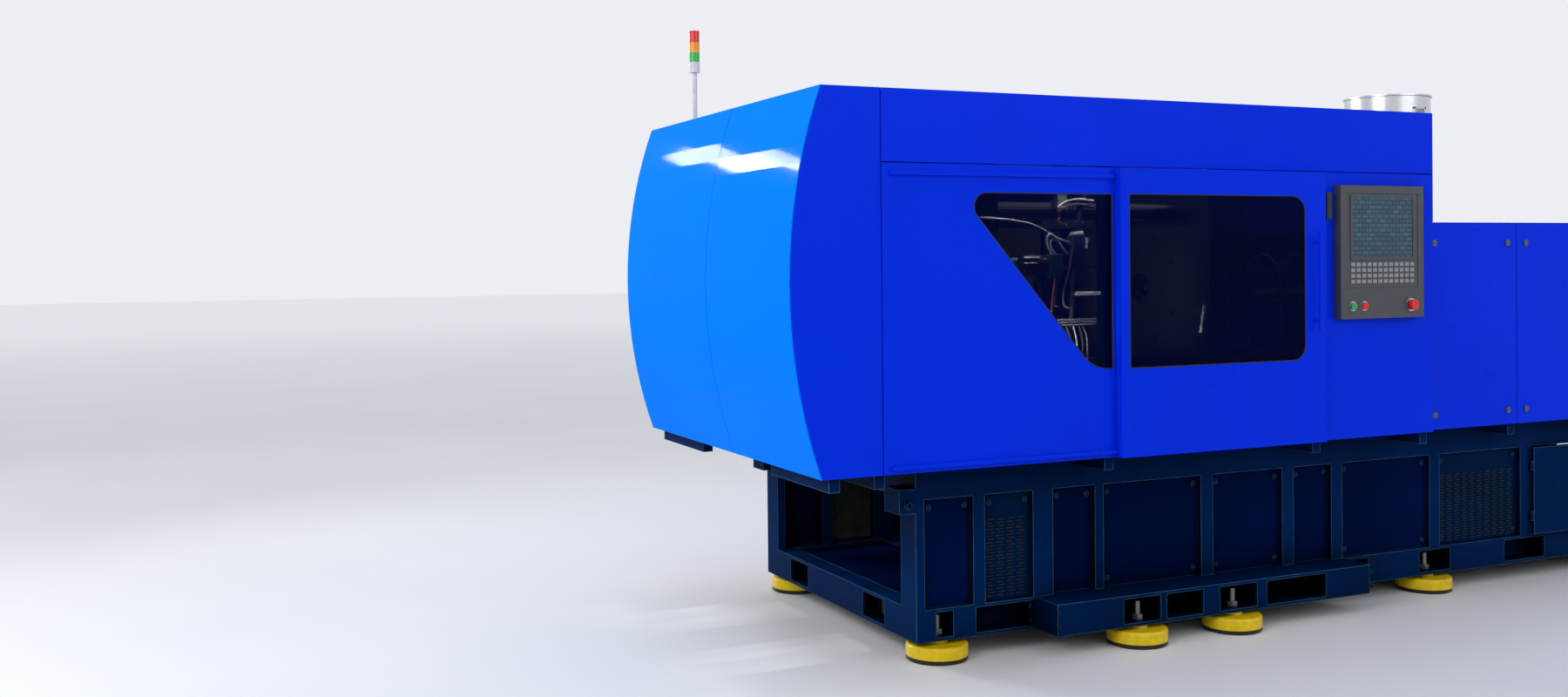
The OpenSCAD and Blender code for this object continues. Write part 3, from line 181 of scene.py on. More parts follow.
# Mask for the painted shade in recesses
def recess_mask(tree, reach):
    """0 deep inside a recess and 1 in the open, from how much of the space within reach is free."""
    hollow = tree.nodes.new("ShaderNodeAmbientOcclusion")
    hollow.samples = 6
    hollow.inputs["Distance"].default_value = reach
    openness = tree.nodes.new("ShaderNodeMapRange")
    openness.inputs["From Min"].default_value = 0.25
    openness.inputs["From Max"].default_value = 0.75
    tree.links.new(hollow.outputs["AO"], openness.inputs["Value"])
    return openness.outputs["Result"]


def paint(
    name, colour, roughness=0.25, coat=0.6, specular=0.3, mottle=0.05, edge=0.002, peel=0.03,
    worn=None, painted_shade=None,
):
    """Sheet metal paint: cloudy colour and gloss, and fine orange peel.

    worn is the colour of lighter patchy edges, a painted edge highlight together with wear, and the last
    argument the colour of painted shade in recesses, where they are given.
    """
    material, tree, shader = new_material(name)
    clouds = noise(tree, 2.2, 4)
    tone = ramp(tree, clouds.outputs["Fac"], [
        (0.3, shade(colour, 1 - mottle)), (0.7, shade(colour, 1 + mottle)),
    ])
    result = tone.outputs["Color"]
    # Lighter along sharp edges, in patches: a painted edge highlight together with wear
    if worn:
        patches = noise(tree, 14, 5, 0.7)
        patchy = spread(tree, patches.outputs["Fac"], 0.3, 1)
        highlight_and_wear = product(tree, edge_mask(tree, 0.006, 0.85, 0.995), patchy)
        result = mixed(tree, highlight_and_wear, result, worn)
    # Darker where a point is closed in by nearby surfaces: painted shade in recesses
    if painted_shade:
        hidden = tree.nodes.new("ShaderNodeMath")
        hidden.operation = "SUBTRACT"
        hidden.inputs[0].default_value = 1
        tree.links.new(recess_mask(tree, 0.5), hidden.inputs[1])
        result = mixed(tree, hidden.outputs["Value"], result, painted_shade)
    tree.links.new(result, shader.inputs["Base Color"])
    streaks = noise(tree, 5, 3)
    tree.links.new(spread(tree, streaks.outputs["Fac"], roughness * 0.85, roughness * 1.2),
                   shader.inputs["Roughness"])
    shader.inputs["IOR"].default_value = PAINT_IOR
    shader.inputs["Specular IOR Level"].default_value = specular
    shader.inputs["Coat Weight"].default_value = coat
    shader.inputs["Coat IOR"].default_value = PAINT_IOR
    shader.inputs["Coat Roughness"].default_value = 0.05
    grain = noise(tree, 140, 2)
    soft_edges(tree, shader, edge, grain.outputs["Fac"], peel, 0.0004)
    return material


def metal(name, colour, roughness=0.3, mottle=0.12, stretch=(1, 1, 1), scale=60, edge=0.0012):
    """Bare or blackened metal with machining marks that run along one direction."""
    material, tree, shader = new_material(name)
    marks = noise(tree, scale, 4, 0.6, stretch)
    tone = ramp(tree, marks.outputs["Fac"], [
        (0.3, shade(colour, 1 - mottle)), (0.7, shade(colour, 1 + mottle)),
    ])
    tree.links.new(tone.outputs["Color"], shader.inputs["Base Color"])
    tree.links.new(spread(tree, marks.outputs["Fac"], roughness * 0.75, roughness * 1.3),
                   shader.inputs["Roughness"])
    shader.inputs["Metallic"].default_value = 1.0
    soft_edges(tree, shader, edge, marks.outputs["Fac"], 0.06, 0.0005)
    return material


def plastic(name, colour, roughness=0.45, mottle=0.06, grain_scale=500, edge=0.001):
    """Moulded plastic, rubber or enamel: a faintly cloudy colour and a fine grain."""
    material, tree, shader = new_material(name)
    clouds = noise(tree, 30, 3)
    tone = ramp(tree, clouds.outputs["Fac"], [
        (0.3, shade(colour, 1 - mottle)), (0.7, shade(colour, 1 + mottle)),
    ])
    tree.links.new(tone.outputs["Color"], shader.inputs["Base Color"])
    shader.inputs["Roughness"].default_value = roughness
    grain = noise(tree, grain_scale, 2)
    soft_edges(tree, shader, edge, grain.outputs["Fac"], 0.12, 0.0004)
    return material


def height_bands(name, bands, roughness=0.35, coat=0.3, edge=0.0015):
    """Colour in level bands: bands are (lowest height in mm, colour), from the bottom up."""
    material, tree, shader = new_material(name)
    coords = tree.nodes.new("ShaderNodeTexCoord")
    axes = tree.nodes.new("ShaderNodeSeparateXYZ")
    tree.links.new(coords.outputs["Object"], axes.inputs["Vector"])
    top = bands[-1][0] * MM + 0.2
    level = tree.nodes.new("ShaderNodeMapRange")
    level.inputs["From Max"].default_value = top
    tree.links.new(axes.outputs["Z"], level.inputs["Value"])
    tone = ramp(tree, level.outputs["Result"], [(z * MM / top, colour) for z, colour in bands])
    tone.color_ramp.interpolation = "CONSTANT"
    clouds = noise(tree, 40, 4)
    worn = tree.nodes.new("ShaderNodeMix")
    worn.data_type = "RGBA"
    worn.blend_type = "MULTIPLY"
    worn.inputs["Factor"].default_value = 1.0
    dirt = ramp(tree, clouds.outputs["Fac"], [(0.3, (0.82, 0.82, 0.82)), (0.65, (1, 1, 1))])
    tree.links.new(tone.outputs["Color"], worn.inputs["A"])
    tree.links.new(dirt.outputs["Color"], worn.inputs["B"])
    tree.links.new(worn.outputs["Result"], shader.inputs["Base Color"])
    shader.inputs["Roughness"].default_value = roughness
    shader.inputs["IOR"].default_value = PAINT_IOR
    shader.inputs["Coat Weight"].default_value = coat
    soft_edges(tree, shader, edge)
    return material


def pane(name, colour, cover):
    """Smoked sheet: cover is the share of light that it stops."""
    material, tree, shader = new_material(name)
    clouds = noise(tree, 3, 2)
    tone = ramp(tree, clouds.outputs["Fac"], [(0.3, shade(colour, 0.85)), (0.7, shade(colour, 1.15))])
    tree.links.new(tone.outputs["Color"], shader.inputs["Base Color"])
    shader.inputs["Roughness"].default_value = 0.05
    shader.inputs["IOR"].default_value = PAINT_IOR
    shader.inputs["Specular IOR Level"].default_value = 0.1
    shader.inputs["Alpha"].default_value = cover
    return material


def casting(name, colour):
    """Painted cast iron, with the coarse skin of a casting."""
    material, tree, shader = new_material(name)
    clouds = noise(tree, 9, 5)
    tone = ramp(tree, clouds.outputs["Fac"], [(0.3, shade(colour, 0.8)), (0.7, shade(colour, 1.2))])
    tree.links.new(tone.outputs["Color"], shader.inputs["Base Color"])
    shader.inputs["Roughness"].default_value = 0.5
    shader.inputs["Coat Weight"].default_value = 0.15
    skin = noise(tree, 120, 5, 0.65)
    soft_edges(tree, shader, 0.003, skin.outputs["Fac"], 0.25, 0.001)
    return material


AZURE = (0.0, 0.18, 0.9)
DEEP_BLUE = (0.0, 0.025, 0.68)
NAVY = (0.0, 0.0138, 0.069)

end_paint = paint("end paint", AZURE, roughness=0.25, coat=0.08, specular=0.0, mottle=0.02)
side_paint = paint("side paint", DEEP_BLUE, roughness=0.3, coat=0.12, specular=0.1, mottle=0.03)
# The base's paints: painted shade in recesses, and on the base and its panels a painted edge highlight
# together with wear
base_paint = paint(
    "base paint", NAVY, roughness=0.42, coat=0.02, specular=0.03, mottle=0.25, peel=0.1,
    worn=(0.07, 0.17, 0.23),
    painted_shade=(0.0, 0.0006, 0.003),
)
panel_paint = paint(
    "base panel paint", (0.0, 0.0048, 0.041), roughness=0.45, coat=0.01, specular=0.03, mottle=0.2,
    worn=(0.05, 0.12, 0.16), painted_shade=(0.0, 0.0004, 0.002),
)
vent_paint = paint(
    "vent paint", (0.0, 0.0095, 0.042), roughness=0.45, coat=0.02, specular=0.03, mottle=0.2,
    painted_shade=(0.0, 0.0004, 0.002),
)
pad_paint = height_bands("pad paint", [(0, (0.015, 0.014, 0.01)), (16, (0.72, 0.5, 0.006))])
bolt_steel = metal("zinc plated bolts", (0.2, 0.2, 0.19), 0.42, scale=90)
ground_steel = metal("ground steel", (0.56, 0.57, 0.58), 0.24, stretch=(0.05, 1, 1), scale=120)
chromed = metal("hard chrome", (0.2, 0.21, 0.225), 0.16, mottle=0.04, stretch=(0.05, 1, 1), scale=80)
dark_steel = metal("blackened steel", (0.12, 0.125, 0.135), 0.36, scale=70)
link_steel = metal("oil blacked links", (0.022, 0.035, 0.05), 0.38, scale=70)
platen_paint = casting("casting paint", (0.012, 0.045, 0.065))
motor_paint = plastic("motor enamel", (0.02, 0.021, 0.024), 0.4)
belt_rubber = plastic("belt rubber", (0.02, 0.02, 0.02), 0.7, grain_scale=900)
rubber = plastic("black rubber", (0.006, 0.006, 0.008), 0.62, grain_scale=700)
band_steel = metal("heater band steel", (0.5, 0.42, 0.32), 0.35, mottle=0.25, scale=25)
hopper_steel = metal("brushed stainless steel", (0.6, 0.61, 0.62), 0.28, stretch=(1, 1, 12), scale=40)
panel_plastic = plastic("control panel plastic", (0.045, 0.05, 0.058), 0.5)
green_plastic = plastic("green button", (0.02, 0.32, 0.07), 0.3)
red_plastic = plastic("red button", (0.6, 0.012, 0.012), 0.3)
smoked = pane("smoked pane", (0.0, 0.001, 0.022), 0.75)
guard_pane = pane("guard pane", (0.03, 0.05, 0.06), 0.35)
tower_paint = height_bands(
    "signal tower",
    [
        (0, (0.62, 0.62, 0.6)), (2244, (0.02, 0.42, 0.06)), (2288, (0.9, 0.28, 0.015)),
        (2332, (0.72, 0.02, 0.012)), (2376, (0.05, 0.05, 0.05)),
    ],
    roughness=0.2,
    coat=0.6,
)
# Pale enough to stand also for the glints on the fittings behind the windows: a painted highlight
highlight_white_plastic = plastic("white plastic with painted highlight", (0.72, 0.72, 0.7), 0.45)
olive_cable = plastic("olive cable", (0.16, 0.15, 0.07), 0.45)
box_enamel = plastic("box enamel", (0.006, 0.045, 0.055), 0.4)
orange_cable = plastic("orange cable", (0.75, 0.2, 0.02), 0.4)
grey_cable = plastic("grey cable", (0.22, 0.23, 0.24), 0.5)
teal_hose = plastic("teal hose", (0.02, 0.18, 0.2), 0.4)
brass = metal("brass fittings", (0.62, 0.45, 0.18), 0.25, scale=60)
braid = metal("braided sleeve", (0.42, 0.42, 0.4), 0.45, mottle=0.35, scale=500)
duct_plastic = plastic("cable duct", (0.05, 0.055, 0.06), 0.5)
filter_mat = plastic("filter mat", (0.016, 0.016, 0.014), 0.95, mottle=0.5, grain_scale=250)
ring_metal = metal("button collars", (0.5, 0.51, 0.52), 0.25)

NODE_MATERIALS = {
    end_paint: ["end_cover_near", "end_cover_far"],
    side_paint: [
        "side_covers", "header_panels", "top_covers", "injection_covers", "front_gate", "rear_gate",
        "gate_tracks",
    ],
    base_paint: ["base_frame", "cover_frame", "cabinet_door"],
    panel_paint: ["base_panels"],
    vent_paint: ["vent_panels"],
    pad_paint: ["levelling_pads"],
    bolt_steel: ["levelling_bolts"],
    ground_steel: ["slide_rails", "rear_pins", "platen_pins", "ejector", "shutoff_slide"],
    chromed: ["tie_bars", "clamp_screw", "screw"],
    dark_steel: [
        "clamp_pulley", "motor_pulley", "ring_gear", "nut_gear_1", "nut_gear_2", "nut_gear_3", "nut_gear_4",
        "height_pinion", "barrel", "purge_guard",
    ],
    link_steel: [
        "rear_link_upper", "front_link_upper", "rear_link_lower", "front_link_lower", "cross_link_upper",
        "cross_link_lower",
    ],
    platen_paint: [
        "fixed_platen", "toggle_support", "crosshead", "moving_platen", "injection_carriage",
        "pressure_plate",
    ],
    motor_paint: ["clamp_motors", "injection_motor"],
    belt_rubber: ["clamp_belt"],
    band_steel: ["heater_bands"],
    hopper_steel: ["hopper", "hopper_lid"],
    panel_plastic: ["control_panel"],
    green_plastic: ["start_button"],
    red_plastic: ["stop_button", "e_stop"],
    smoked: ["side_windows", "front_window", "rear_window"],
    tower_paint: ["signal_tower"],
}


def dress_nodes():
    """Gives each CAD node its material."""
    for material, names in NODE_MATERIALS.items():
        for name in names:
            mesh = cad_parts[name].data
            mesh.materials.clear()
            mesh.materials.append(material)


# Builders of pieces


def piece(name, mesh, material, body, smooth=False):
    """A mesh as an object of the scene that rides on a body."""
    obj = bpy.data.objects.new(name, mesh)
    bpy.context.scene.collection.objects.link(obj)
    mesh.materials.append(material)
    if smooth:
        mesh.shade_smooth()
    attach(obj, body)
    return obj


def mesh_from(name, build):
    """A mesh made by build, which gets an empty bmesh."""
    shape = bmesh.new()
    build(shape)
    mesh = bpy.data.meshes.new(name)
    shape.to_mesh(mesh)
    shape.free()
    return mesh


def add_block(shape, x, y, z, bevel=0.0):
    """Adds a block between two limits along each axis, with its edges bevelled by that many mm."""
    middle = at((x[0] + x[1]) / 2, (y[0] + y[1]) / 2, (z[0] + z[1]) / 2)
    size = Vector((x[1] - x[0], y[1] - y[0], z[1] - z[0])) / 1000
    place = Matrix.Translation(middle) @ Matrix.Diagonal((*size, 1))
    made = bmesh.ops.create_cube(shape, size=1, matrix=place)["verts"]
    if bevel:
        edges = list({edge for vert in made for edge in vert.link_edges})
        bmesh.ops.bevel(shape, geom=edges, offset=bevel / 1000, segments=2, profile=0.5, affect="EDGES")


def add_rod(shape, start, end, r1, r2=None, sides=24):
    """Adds a round bar or cone between two points, all in layout millimetres."""
    a = at(*start)
    b = at(*end)
    along = b - a
    turn = along.to_track_quat("Z", "Y").to_matrix().to_4x4()
    place = Matrix.Translation((a + b) / 2) @ turn
    bmesh.ops.create_cone(
        shape,
        cap_ends=True,
        segments=sides,
        radius1=r1 / 1000,
        radius2=(r1 if r2 is None else r2) / 1000,
        depth=along.length,
        matrix=place,
    )


def add_ring(shape, place, radius, thick, around=32, across=12):
    """Adds a ring of round bar, lying level before it is placed by the matrix."""
    loops = []
    for i in range(around):
        turn = 2 * math.pi * i / around
        loop = []
        for k in range(across):
            lean = 2 * math.pi * k / across
            reach = radius + thick * math.cos(lean)
            point = Vector((reach * math.cos(turn), reach * math.sin(turn), thick * math.sin(lean))) / 1000
            loop.append(shape.verts.new(place @ point))
        loops.append(loop)
    for i in range(around):
        a = loops[i]
        b = loops[(i + 1) % around]
        for k in range(across):
            m = (k + 1) % across
            shape.faces.new((a[k], a[m], b[m], b[k]))


def new_curve(name, radius):
    """An empty curve that is drawn as a round bar of that radius."""
    curve = bpy.data.curves.new(name, "CURVE")
    curve.dimensions = "3D"
    curve.bevel_depth = radius / 1000
    curve.bevel_resolution = 2
    return curve


def tube(name, points, radius, material, body):
    """A round tube of that radius along a smooth curve through the points."""
    curve = new_curve(name, radius)
    curve.resolution_u = 6
    curve.use_fill_caps = True
    line = curve.splines.new("BEZIER")
    line.bezier_points.add(len(points) - 1)
    for knot, point in zip(line.bezier_points, points):
        knot.co = at(*point)
        knot.handle_left_type = "AUTO"
        knot.handle_right_type = "AUTO"
    return from_curve(name, curve, material, body)


def from_curve(name, curve, material, body):
    """The curve as a mesh piece."""
    drawn = bpy.data.objects.new(name, curve)
    bpy.context.scene.collection.objects.link(drawn)
    bpy.context.view_layer.update()
    mesh = bpy.data.meshes.new_from_object(drawn.evaluated_get(bpy.context.evaluated_depsgraph_get()))
    bpy.data.objects.remove(drawn)
    return piece(name, mesh, material, body, smooth=True)


def bead(name, corners, radius, material, body):
    """A closed rubber bead with straight runs through the corner points."""
    curve = new_curve(name, radius)
    line = curve.splines.new("POLY")
    line.points.add(len(corners) - 1)
    line.use_cyclic_u = True
    for knot, point in zip(line.points, corners):
        knot.co = (*at(*point), 1)
    return from_curve(name, curve, material, body)


def rounded(points, radii, steps=8):
    """The outline through points, whose corner i is rounded by radii[i]."""
    out = []
    count = len(points)
    for i, radius in enumerate(radii):
        corner = Vector(points[i])
        if radius == 0:
            out.append(tuple(corner))
            continue
        to_last = (Vector(points[i - 1]) - corner).normalized()
        to_next = (Vector(points[(i + 1) % count]) - corner).normalized()
        half = to_last.angle(to_next) / 2
        centre = corner + (to_last + to_next).normalized() * radius / math.sin(half)
        first = corner + to_last * radius / math.tan(half) - centre
        last = corner + to_next * radius / math.tan(half) - centre
        start = math.atan2(first.y, first.x)
        sweep = (math.atan2(last.y, last.x) - start + math.pi) % (2 * math.pi) - math.pi
        for k in range(steps + 1):
            angle = start + sweep * k / steps
            out.append((centre.x + radius * math.cos(angle), centre.y + radius * math.sin(angle)))
    return out


# Windows

SIDE_WINDOW = rounded(
    [(640, WINDOW_Z[1]), (1275, WINDOW_Z[1]), (1275, WINDOW_Z[0]), (1189, WINDOW_Z[0])],
    [48, 8, 8, 150],
)
GATE_WINDOW = rounded(
    [(1325, WINDOW_Z[1]), (2150, WINDOW_Z[1]), (2150, WINDOW_Z[0]), (1325, WINDOW_Z[0])],
    [8, 60, 60, 8],
)

# The rubber beads' distance from the middle, on the cover and on the gate, and their radius
SIDE_BEAD_Y = HALF_W - 1.5
GATE_BEAD_Y = HALF_W + 33.5
BEAD_R = 2.4


def window_beads():
    """Black rubber beads round the edges of the window openings."""
    for side, word in SIDES:
        edge = [(x, side * SIDE_BEAD_Y, z) for x, z in SIDE_WINDOW]
        bead(f"{word}_side_window_bead", edge, BEAD_R, rubber, "machine")
        edge = [(x, side * GATE_BEAD_Y, z) for x, z in GATE_WINDOW]
        bead(f"{word}_gate_window_bead", edge, BEAD_R, rubber, f"{word}_gate")


# Hoses and cables behind the side windows

# The y of the inner and outer face of the brackets that carry the fittings
BRACKET_Y = (772, 775)

# The hoses' points are moved out by up to HOSE_STEP: not at all up to y HOSE_STEP_Y, and in full
# from HOSE_STEP_RUN further out. Each also moves towards the clamp end, by SIGHT_SLOPE times as
# much, which keeps its place in the photograph's view.
HOSE_STEP = 33
HOSE_STEP_Y = 700
HOSE_STEP_RUN = 40
SIGHT_SLOPE = 0.72


def distributor(side, word):
    """A distributor block and a junction box with their fittings, and the brackets that carry them."""

    def block(shape):
        add_block(shape, (1135, 1185), between(side, 775, 809), (1470, 1512), 3)
        add_block(shape, (1034, 1092), between(side, 775, 805), (1353, 1443), 4)

    piece(f"{word}_distributor_block", mesh_from("distributor block", block), box_enamel, "machine")

    def brackets(shape):
        add_block(shape, (1130, 1290), between(side, *BRACKET_Y), (1478, 1504))
        add_block(shape, (1022, 1290), between(side, *BRACKET_Y), (1388, 1404))
        add_block(shape, (1020, 1290), between(side, *BRACKET_Y), (1535, 1560))

    piece(f"{word}_post_brackets", mesh_from("post brackets", brackets), dark_steel, "machine")

    # White fittings: their pale colour is partly a painted highlight, standing for glints on them
    def bright(shape):
        add_block(shape, (1139, 1181), between(side, 779, 803), (1512, 1523), 2)
        for x, z, length in ((932, 1431, 62), (927, 1412, 56)):
            add_rod(shape, (x, side * 797, z), (x + length, side * 797, z), 2.5, sides=12)
        add_rod(shape, (1152, side * 795, 1300), (1256, side * 795, 1300), 6.5)
        add_rod(shape, (1208, side * 780, 1462), (1208, side * 780, 1497), 5)

    piece(f"{word}_bright_fittings", mesh_from("bright fittings", bright), highlight_white_plastic, "machine")

    def heads(shape):
        for x, z in ((1105, 1552), (1126, 1542), (1199, 1552), (1104, 1396), (1230, 1396), (1230, 1490)):
            add_rod(shape, (x, side * 775, z), (x, side * 782, z), 6, sides=6)

    piece(f"{word}_bracket_bolts", mesh_from("bracket bolts", heads), bolt_steel, "machine")

    def fittings(shape):
        for k in range(4):
            z = 1477 + 9.5 * k
            add_rod(shape, (1135, side * 788, z), (1125, side * 788, z), 4.2, sides=6)
        for x, z in ((940, 1399), (1006, 1420), (1018, 1420), (929, 1379)):
            add_rod(shape, (x, side * 795, z), (x, side * 803, z), 6, sides=6)

    piece(f"{word}_distributor_fittings", mesh_from("fittings", fittings), brass, "machine")

    def plate(shape):
        add_block(shape, (907, 1031), between(side, 792, 795), (1368, 1440), 1)
        add_block(shape, (1022, 1031), between(side, 775, 792), (1388, 1404))

    piece(f"{word}_fitting_plate", mesh_from("fitting plate", plate), dark_steel, "machine")


def towards_pane(side, x, y, z):
    """The hose's point, moved out on that side."""
    step = HOSE_STEP * min(1, max(0, (y - HOSE_STEP_Y) / HOSE_STEP_RUN))
    return x - SIGHT_SLOPE * step, side * (y + step), z


def window_hoses(side, word):
    """Hoses and cables behind the window: to the distributor, along the frame and down to the bed."""
    runs = [
        ("pale_hose", grey_cable, 4, [
            (470, 770, 1590), (560, 764, 1586), (650, 760, 1578), (768, 758, 1572), (841, 756, 1568),
            (895, 752, 1565), (938, 750, 1559), (988, 746, 1552), (1050, 742, 1530), (1105, 746, 1500),
            (1150, 755, 1486),
        ]),
        ("arc_hose_a", grey_cable, 4, [
            (1096, 768, 1608), (1132, 748, 1624), (1168, 742, 1636), (1201, 742, 1640), (1262, 750, 1634),
        ]),
        ("arc_hose_b", rubber, 7, [
            (1096, 768, 1590), (1130, 744, 1604), (1170, 736, 1618), (1210, 736, 1622), (1262, 748, 1612),
        ]),
        ("olive_cable_a", olive_cable, 4, [
            (1168, 755, 1470), (1160, 748, 1400), (1146, 746, 1348), (1137, 746, 1315), (1132, 746, 1279),
            (1141, 746, 1255), (1156, 752, 1250),
        ]),
        ("olive_cable_b", olive_cable, 4, [
            (1096, 756, 1353), (1104, 748, 1335), (1101, 744, 1288), (1098, 744, 1261), (1109, 752, 1254),
        ]),
        ("orange_cable", orange_cable, 3.5, [
            (1112, 768, 1610), (1118, 740, 1560), (1128, 720, 1460), (1122, 705, 1350), (1112, 700, 1240),
            (1092, 690, 1100), (1080, 680, 850),
        ]),
        ("loop_a", braid, 5, [
            (1072, 756, 1443), (1062, 748, 1480), (1074, 744, 1512), (1098, 746, 1502), (1118, 756, 1470),
            (1140, 762, 1440),
        ]),
        ("loop_b", braid, 4.5, [
            (1090, 756, 1443), (1078, 746, 1470), (1090, 742, 1492), (1112, 746, 1480), (1130, 756, 1450),
        ]),
        ("teal_hose", teal_hose, 9, [
            (1012, 752, 1400), (986, 740, 1410), (930, 725, 1420), (870, 715, 1380), (840, 712, 1280),
            (836, 708, 1130), (840, 702, 980), (830, 690, 850),
        ]),
        ("black_hose_a", rubber, 12, [
            (1232, 768, 1725), (1225, 735, 1640), (1214, 715, 1520), (1205, 705, 1360), (1196, 700, 1200),
            (1150, 695, 1020), (1110, 690, 850),
        ]),
        ("black_hose_b", rubber, 10, [
            (1030, 752, 1375), (1022, 735, 1330), (1040, 715, 1240), (1090, 705, 1140), (1120, 690, 1000),
            (1130, 680, 850),
        ]),
    ]
    for k in range(3):
        z = 1208 - 9 * k
        runs.append((f"frame_pipe_{k}", grey_cable, 3, [
            (1000, 764, z - 4), (1092, 758, z), (1180, 758, z), (1262, 762, z + 1),
        ]))
    fan = [
        (rubber, 7, 1140, 1158, 1172), (olive_cable, 4, 1152, 1163, 1171), (rubber, 6, 1196, 1212, 1222),
        (grey_cable, 4, 1204, 1228, 1240), (braid, 5, 1170, 1184, 1196),
    ]
    for k, (material, radius, x0, x1, x2) in enumerate(fan):
        runs.append((f"fan_{k}", material, radius, [
            (x0, 752, 1186), (x1, 744, 1158), (x2, 738, 1118), (x2 + 4, 725, 1040), (x2 - 12, 700, 930),
            (x2 - 30, 690, 850),
        ]))
    for name, material, radius, points in runs:
        nearer = [towards_pane(side, *point) for point in points]
        tube(f"{word}_{name}", nearer, radius, material, "machine")


def window_rails(side, word):
    """A cable tray along the bed, a cable duct on the post, and the sheet that closes the cover below."""
    near = 660
    low, high = between(side, near, 770)

    def tray(shape):
        add_block(shape, (360, 1250), (low, high), (800, 804))
        for y in (low, high - 3):
            add_block(shape, (360, 1250), (y, y + 3), (800, 850))
        for x in (400, 800, 1200):
            add_block(shape, (x, x + 30), between(side, 480, near), (800, 806))

    piece(f"{word}_cable_tray", mesh_from("cable tray", tray), bolt_steel, "machine")

    def duct(shape):
        add_block(shape, (1090, 1132), between(side, 735, 774), (1600, 1962), 2)
        for k in range(17):
            z = 1612 + 20 * k
            add_block(shape, (1092, 1130), between(side, 731, 736), (z, z + 11))

    piece(f"{word}_cable_duct", mesh_from("cable duct", duct), duct_plastic, "machine")

    def closing(shape):
        add_block(shape, (362, 1252), between(side, near, 838), (713.2, 715.2))

    piece(f"{word}_closing_sheet", mesh_from("closing sheet", closing), duct_plastic, "machine")


# Inside of the base


def base_linings():
    """A drip tray between the sills, and dark filter mats behind the louvres."""

    def tray(shape):
        add_block(shape, (650, 5395), (-552, 552), (178, 180))
        for y in (-552, 549):
            add_block(shape, (650, 5395), (y, y + 3), (180, 189))
        for x in (650, 5392):
            add_block(shape, (x, x + 3), (-549, 549), (180, 189))

    piece("drip_tray", mesh_from("drip tray", tray), panel_paint, "machine")
    for side, word in SIDES:

        def mats(shape):
            for x in ((853, 1052), (3113, 3597)):
                add_block(shape, x, between(side, 618, 632), (194, 520), 2)

        piece(f"{word}_filter_mats", mesh_from("filter mats", mats), filter_mat, "machine")


# The covered bays of the base, as the x of their two edges
BASE_BAYS = (
    (600, 800), (850, 1055), (1143, 1330), (1370, 1830), (1890, 2240),
    (2300, 2500), (2560, 3050), (3110, 3600), (4260, 4860), (4920, 5420),
)

# A bay wider than this has fasteners at the bottom too
WIDE_BAY = 300


def base_fasteners():
    """Turn fasteners in the top corners of the base covers, and bolts in the corner brackets and sills."""
    for side, word in SIDES:

        def fasteners(shape):
            face = side * BASE_FACE_Y
            grip = between(side, BASE_FACE_Y + 3, BASE_FACE_Y + 6)
            for x0, x1 in BASE_BAYS:
                heights = (222, 548) if x1 - x0 > WIDE_BAY else (548,)
                for x in (x0 + 26, x1 - 26):
                    for z in heights:
                        add_rod(shape, (x, face, z), (x, face + side * 4, z), 11, sides=24)
                        add_block(shape, (x - 8, x + 8), grip, (z - 1.8, z + 1.8), 0.6)

        piece(f"{word}_base_fasteners", mesh_from("base fasteners", fasteners), panel_paint, "machine")

        def bolts(shape):
            washer = side * SILL_FACE_Y
            head = side * (SILL_FACE_Y + 4)
            end = side * (SILL_FACE_Y + 16)
            add_rod(shape, (532, washer, 566), (532, head, 566), 17, sides=32)
            add_rod(shape, (532, head, 566), (532, end, 566), 13, sides=6)
            for x in (1040, 1066, 2570, 2596):
                for z in (105, 160):
                    face = SILL_FACE_Y if x in (1040, 2596) else STEP_FACE_Y
                    add_rod(shape, (x, side * face, z), (x, side * (face + 5), z), 8, sides=6)

        piece(f"{word}_frame_bolts", mesh_from("frame bolts", bolts), panel_paint, "machine")


def main_switch():
    """The main isolator on the base, with a plain plate and a turn handle."""
    x, y, z = 4560, -BASE_FACE_Y, 430

    def plate(shape):
        add_block(shape, (x - 55, x + 55), (y - 4, y), (z - 55, z + 55), 2)

    piece("switch_plate", mesh_from("switch plate", plate), grey_cable, "machine")

    def handle(shape):
        add_rod(shape, (x, y - 4, z), (x, y - 16, z), 30, sides=32)
        add_block(shape, (x - 9, x + 9), (y - 34, y - 14), (z - 28, z + 28), 4)

    piece("switch_handle", mesh_from("switch handle", handle), rubber, "machine")


def rear_services():
    """Cable glands and water stubs on the end of the base behind the injection unit."""

    def glands(shape):
        add_block(shape, (5480, 5486), (-420, -120), (598, 682), 1)
        for k in range(5):
            y = -390 + 60 * k
            add_rod(shape, (5486, y, 640), (5506, y, 640), 19, sides=6)
            add_rod(shape, (5506, y, 640), (5520, y, 640), 14, sides=24)

    piece("cable_glands", mesh_from("cable glands", glands), grey_cable, "machine")

    def stubs(shape):
        for k in range(4):
            y = 140 + 80 * k
            add_rod(shape, (5480, y, 640), (5488, y, 640), 22, sides=24)
            add_rod(shape, (5488, y, 640), (5502, y, 640), 15, sides=6)
            add_rod(shape, (5502, y, 640), (5530, y, 640), 10, 8.5, sides=24)

    piece("water_stubs", mesh_from("water stubs", stubs), brass, "machine")


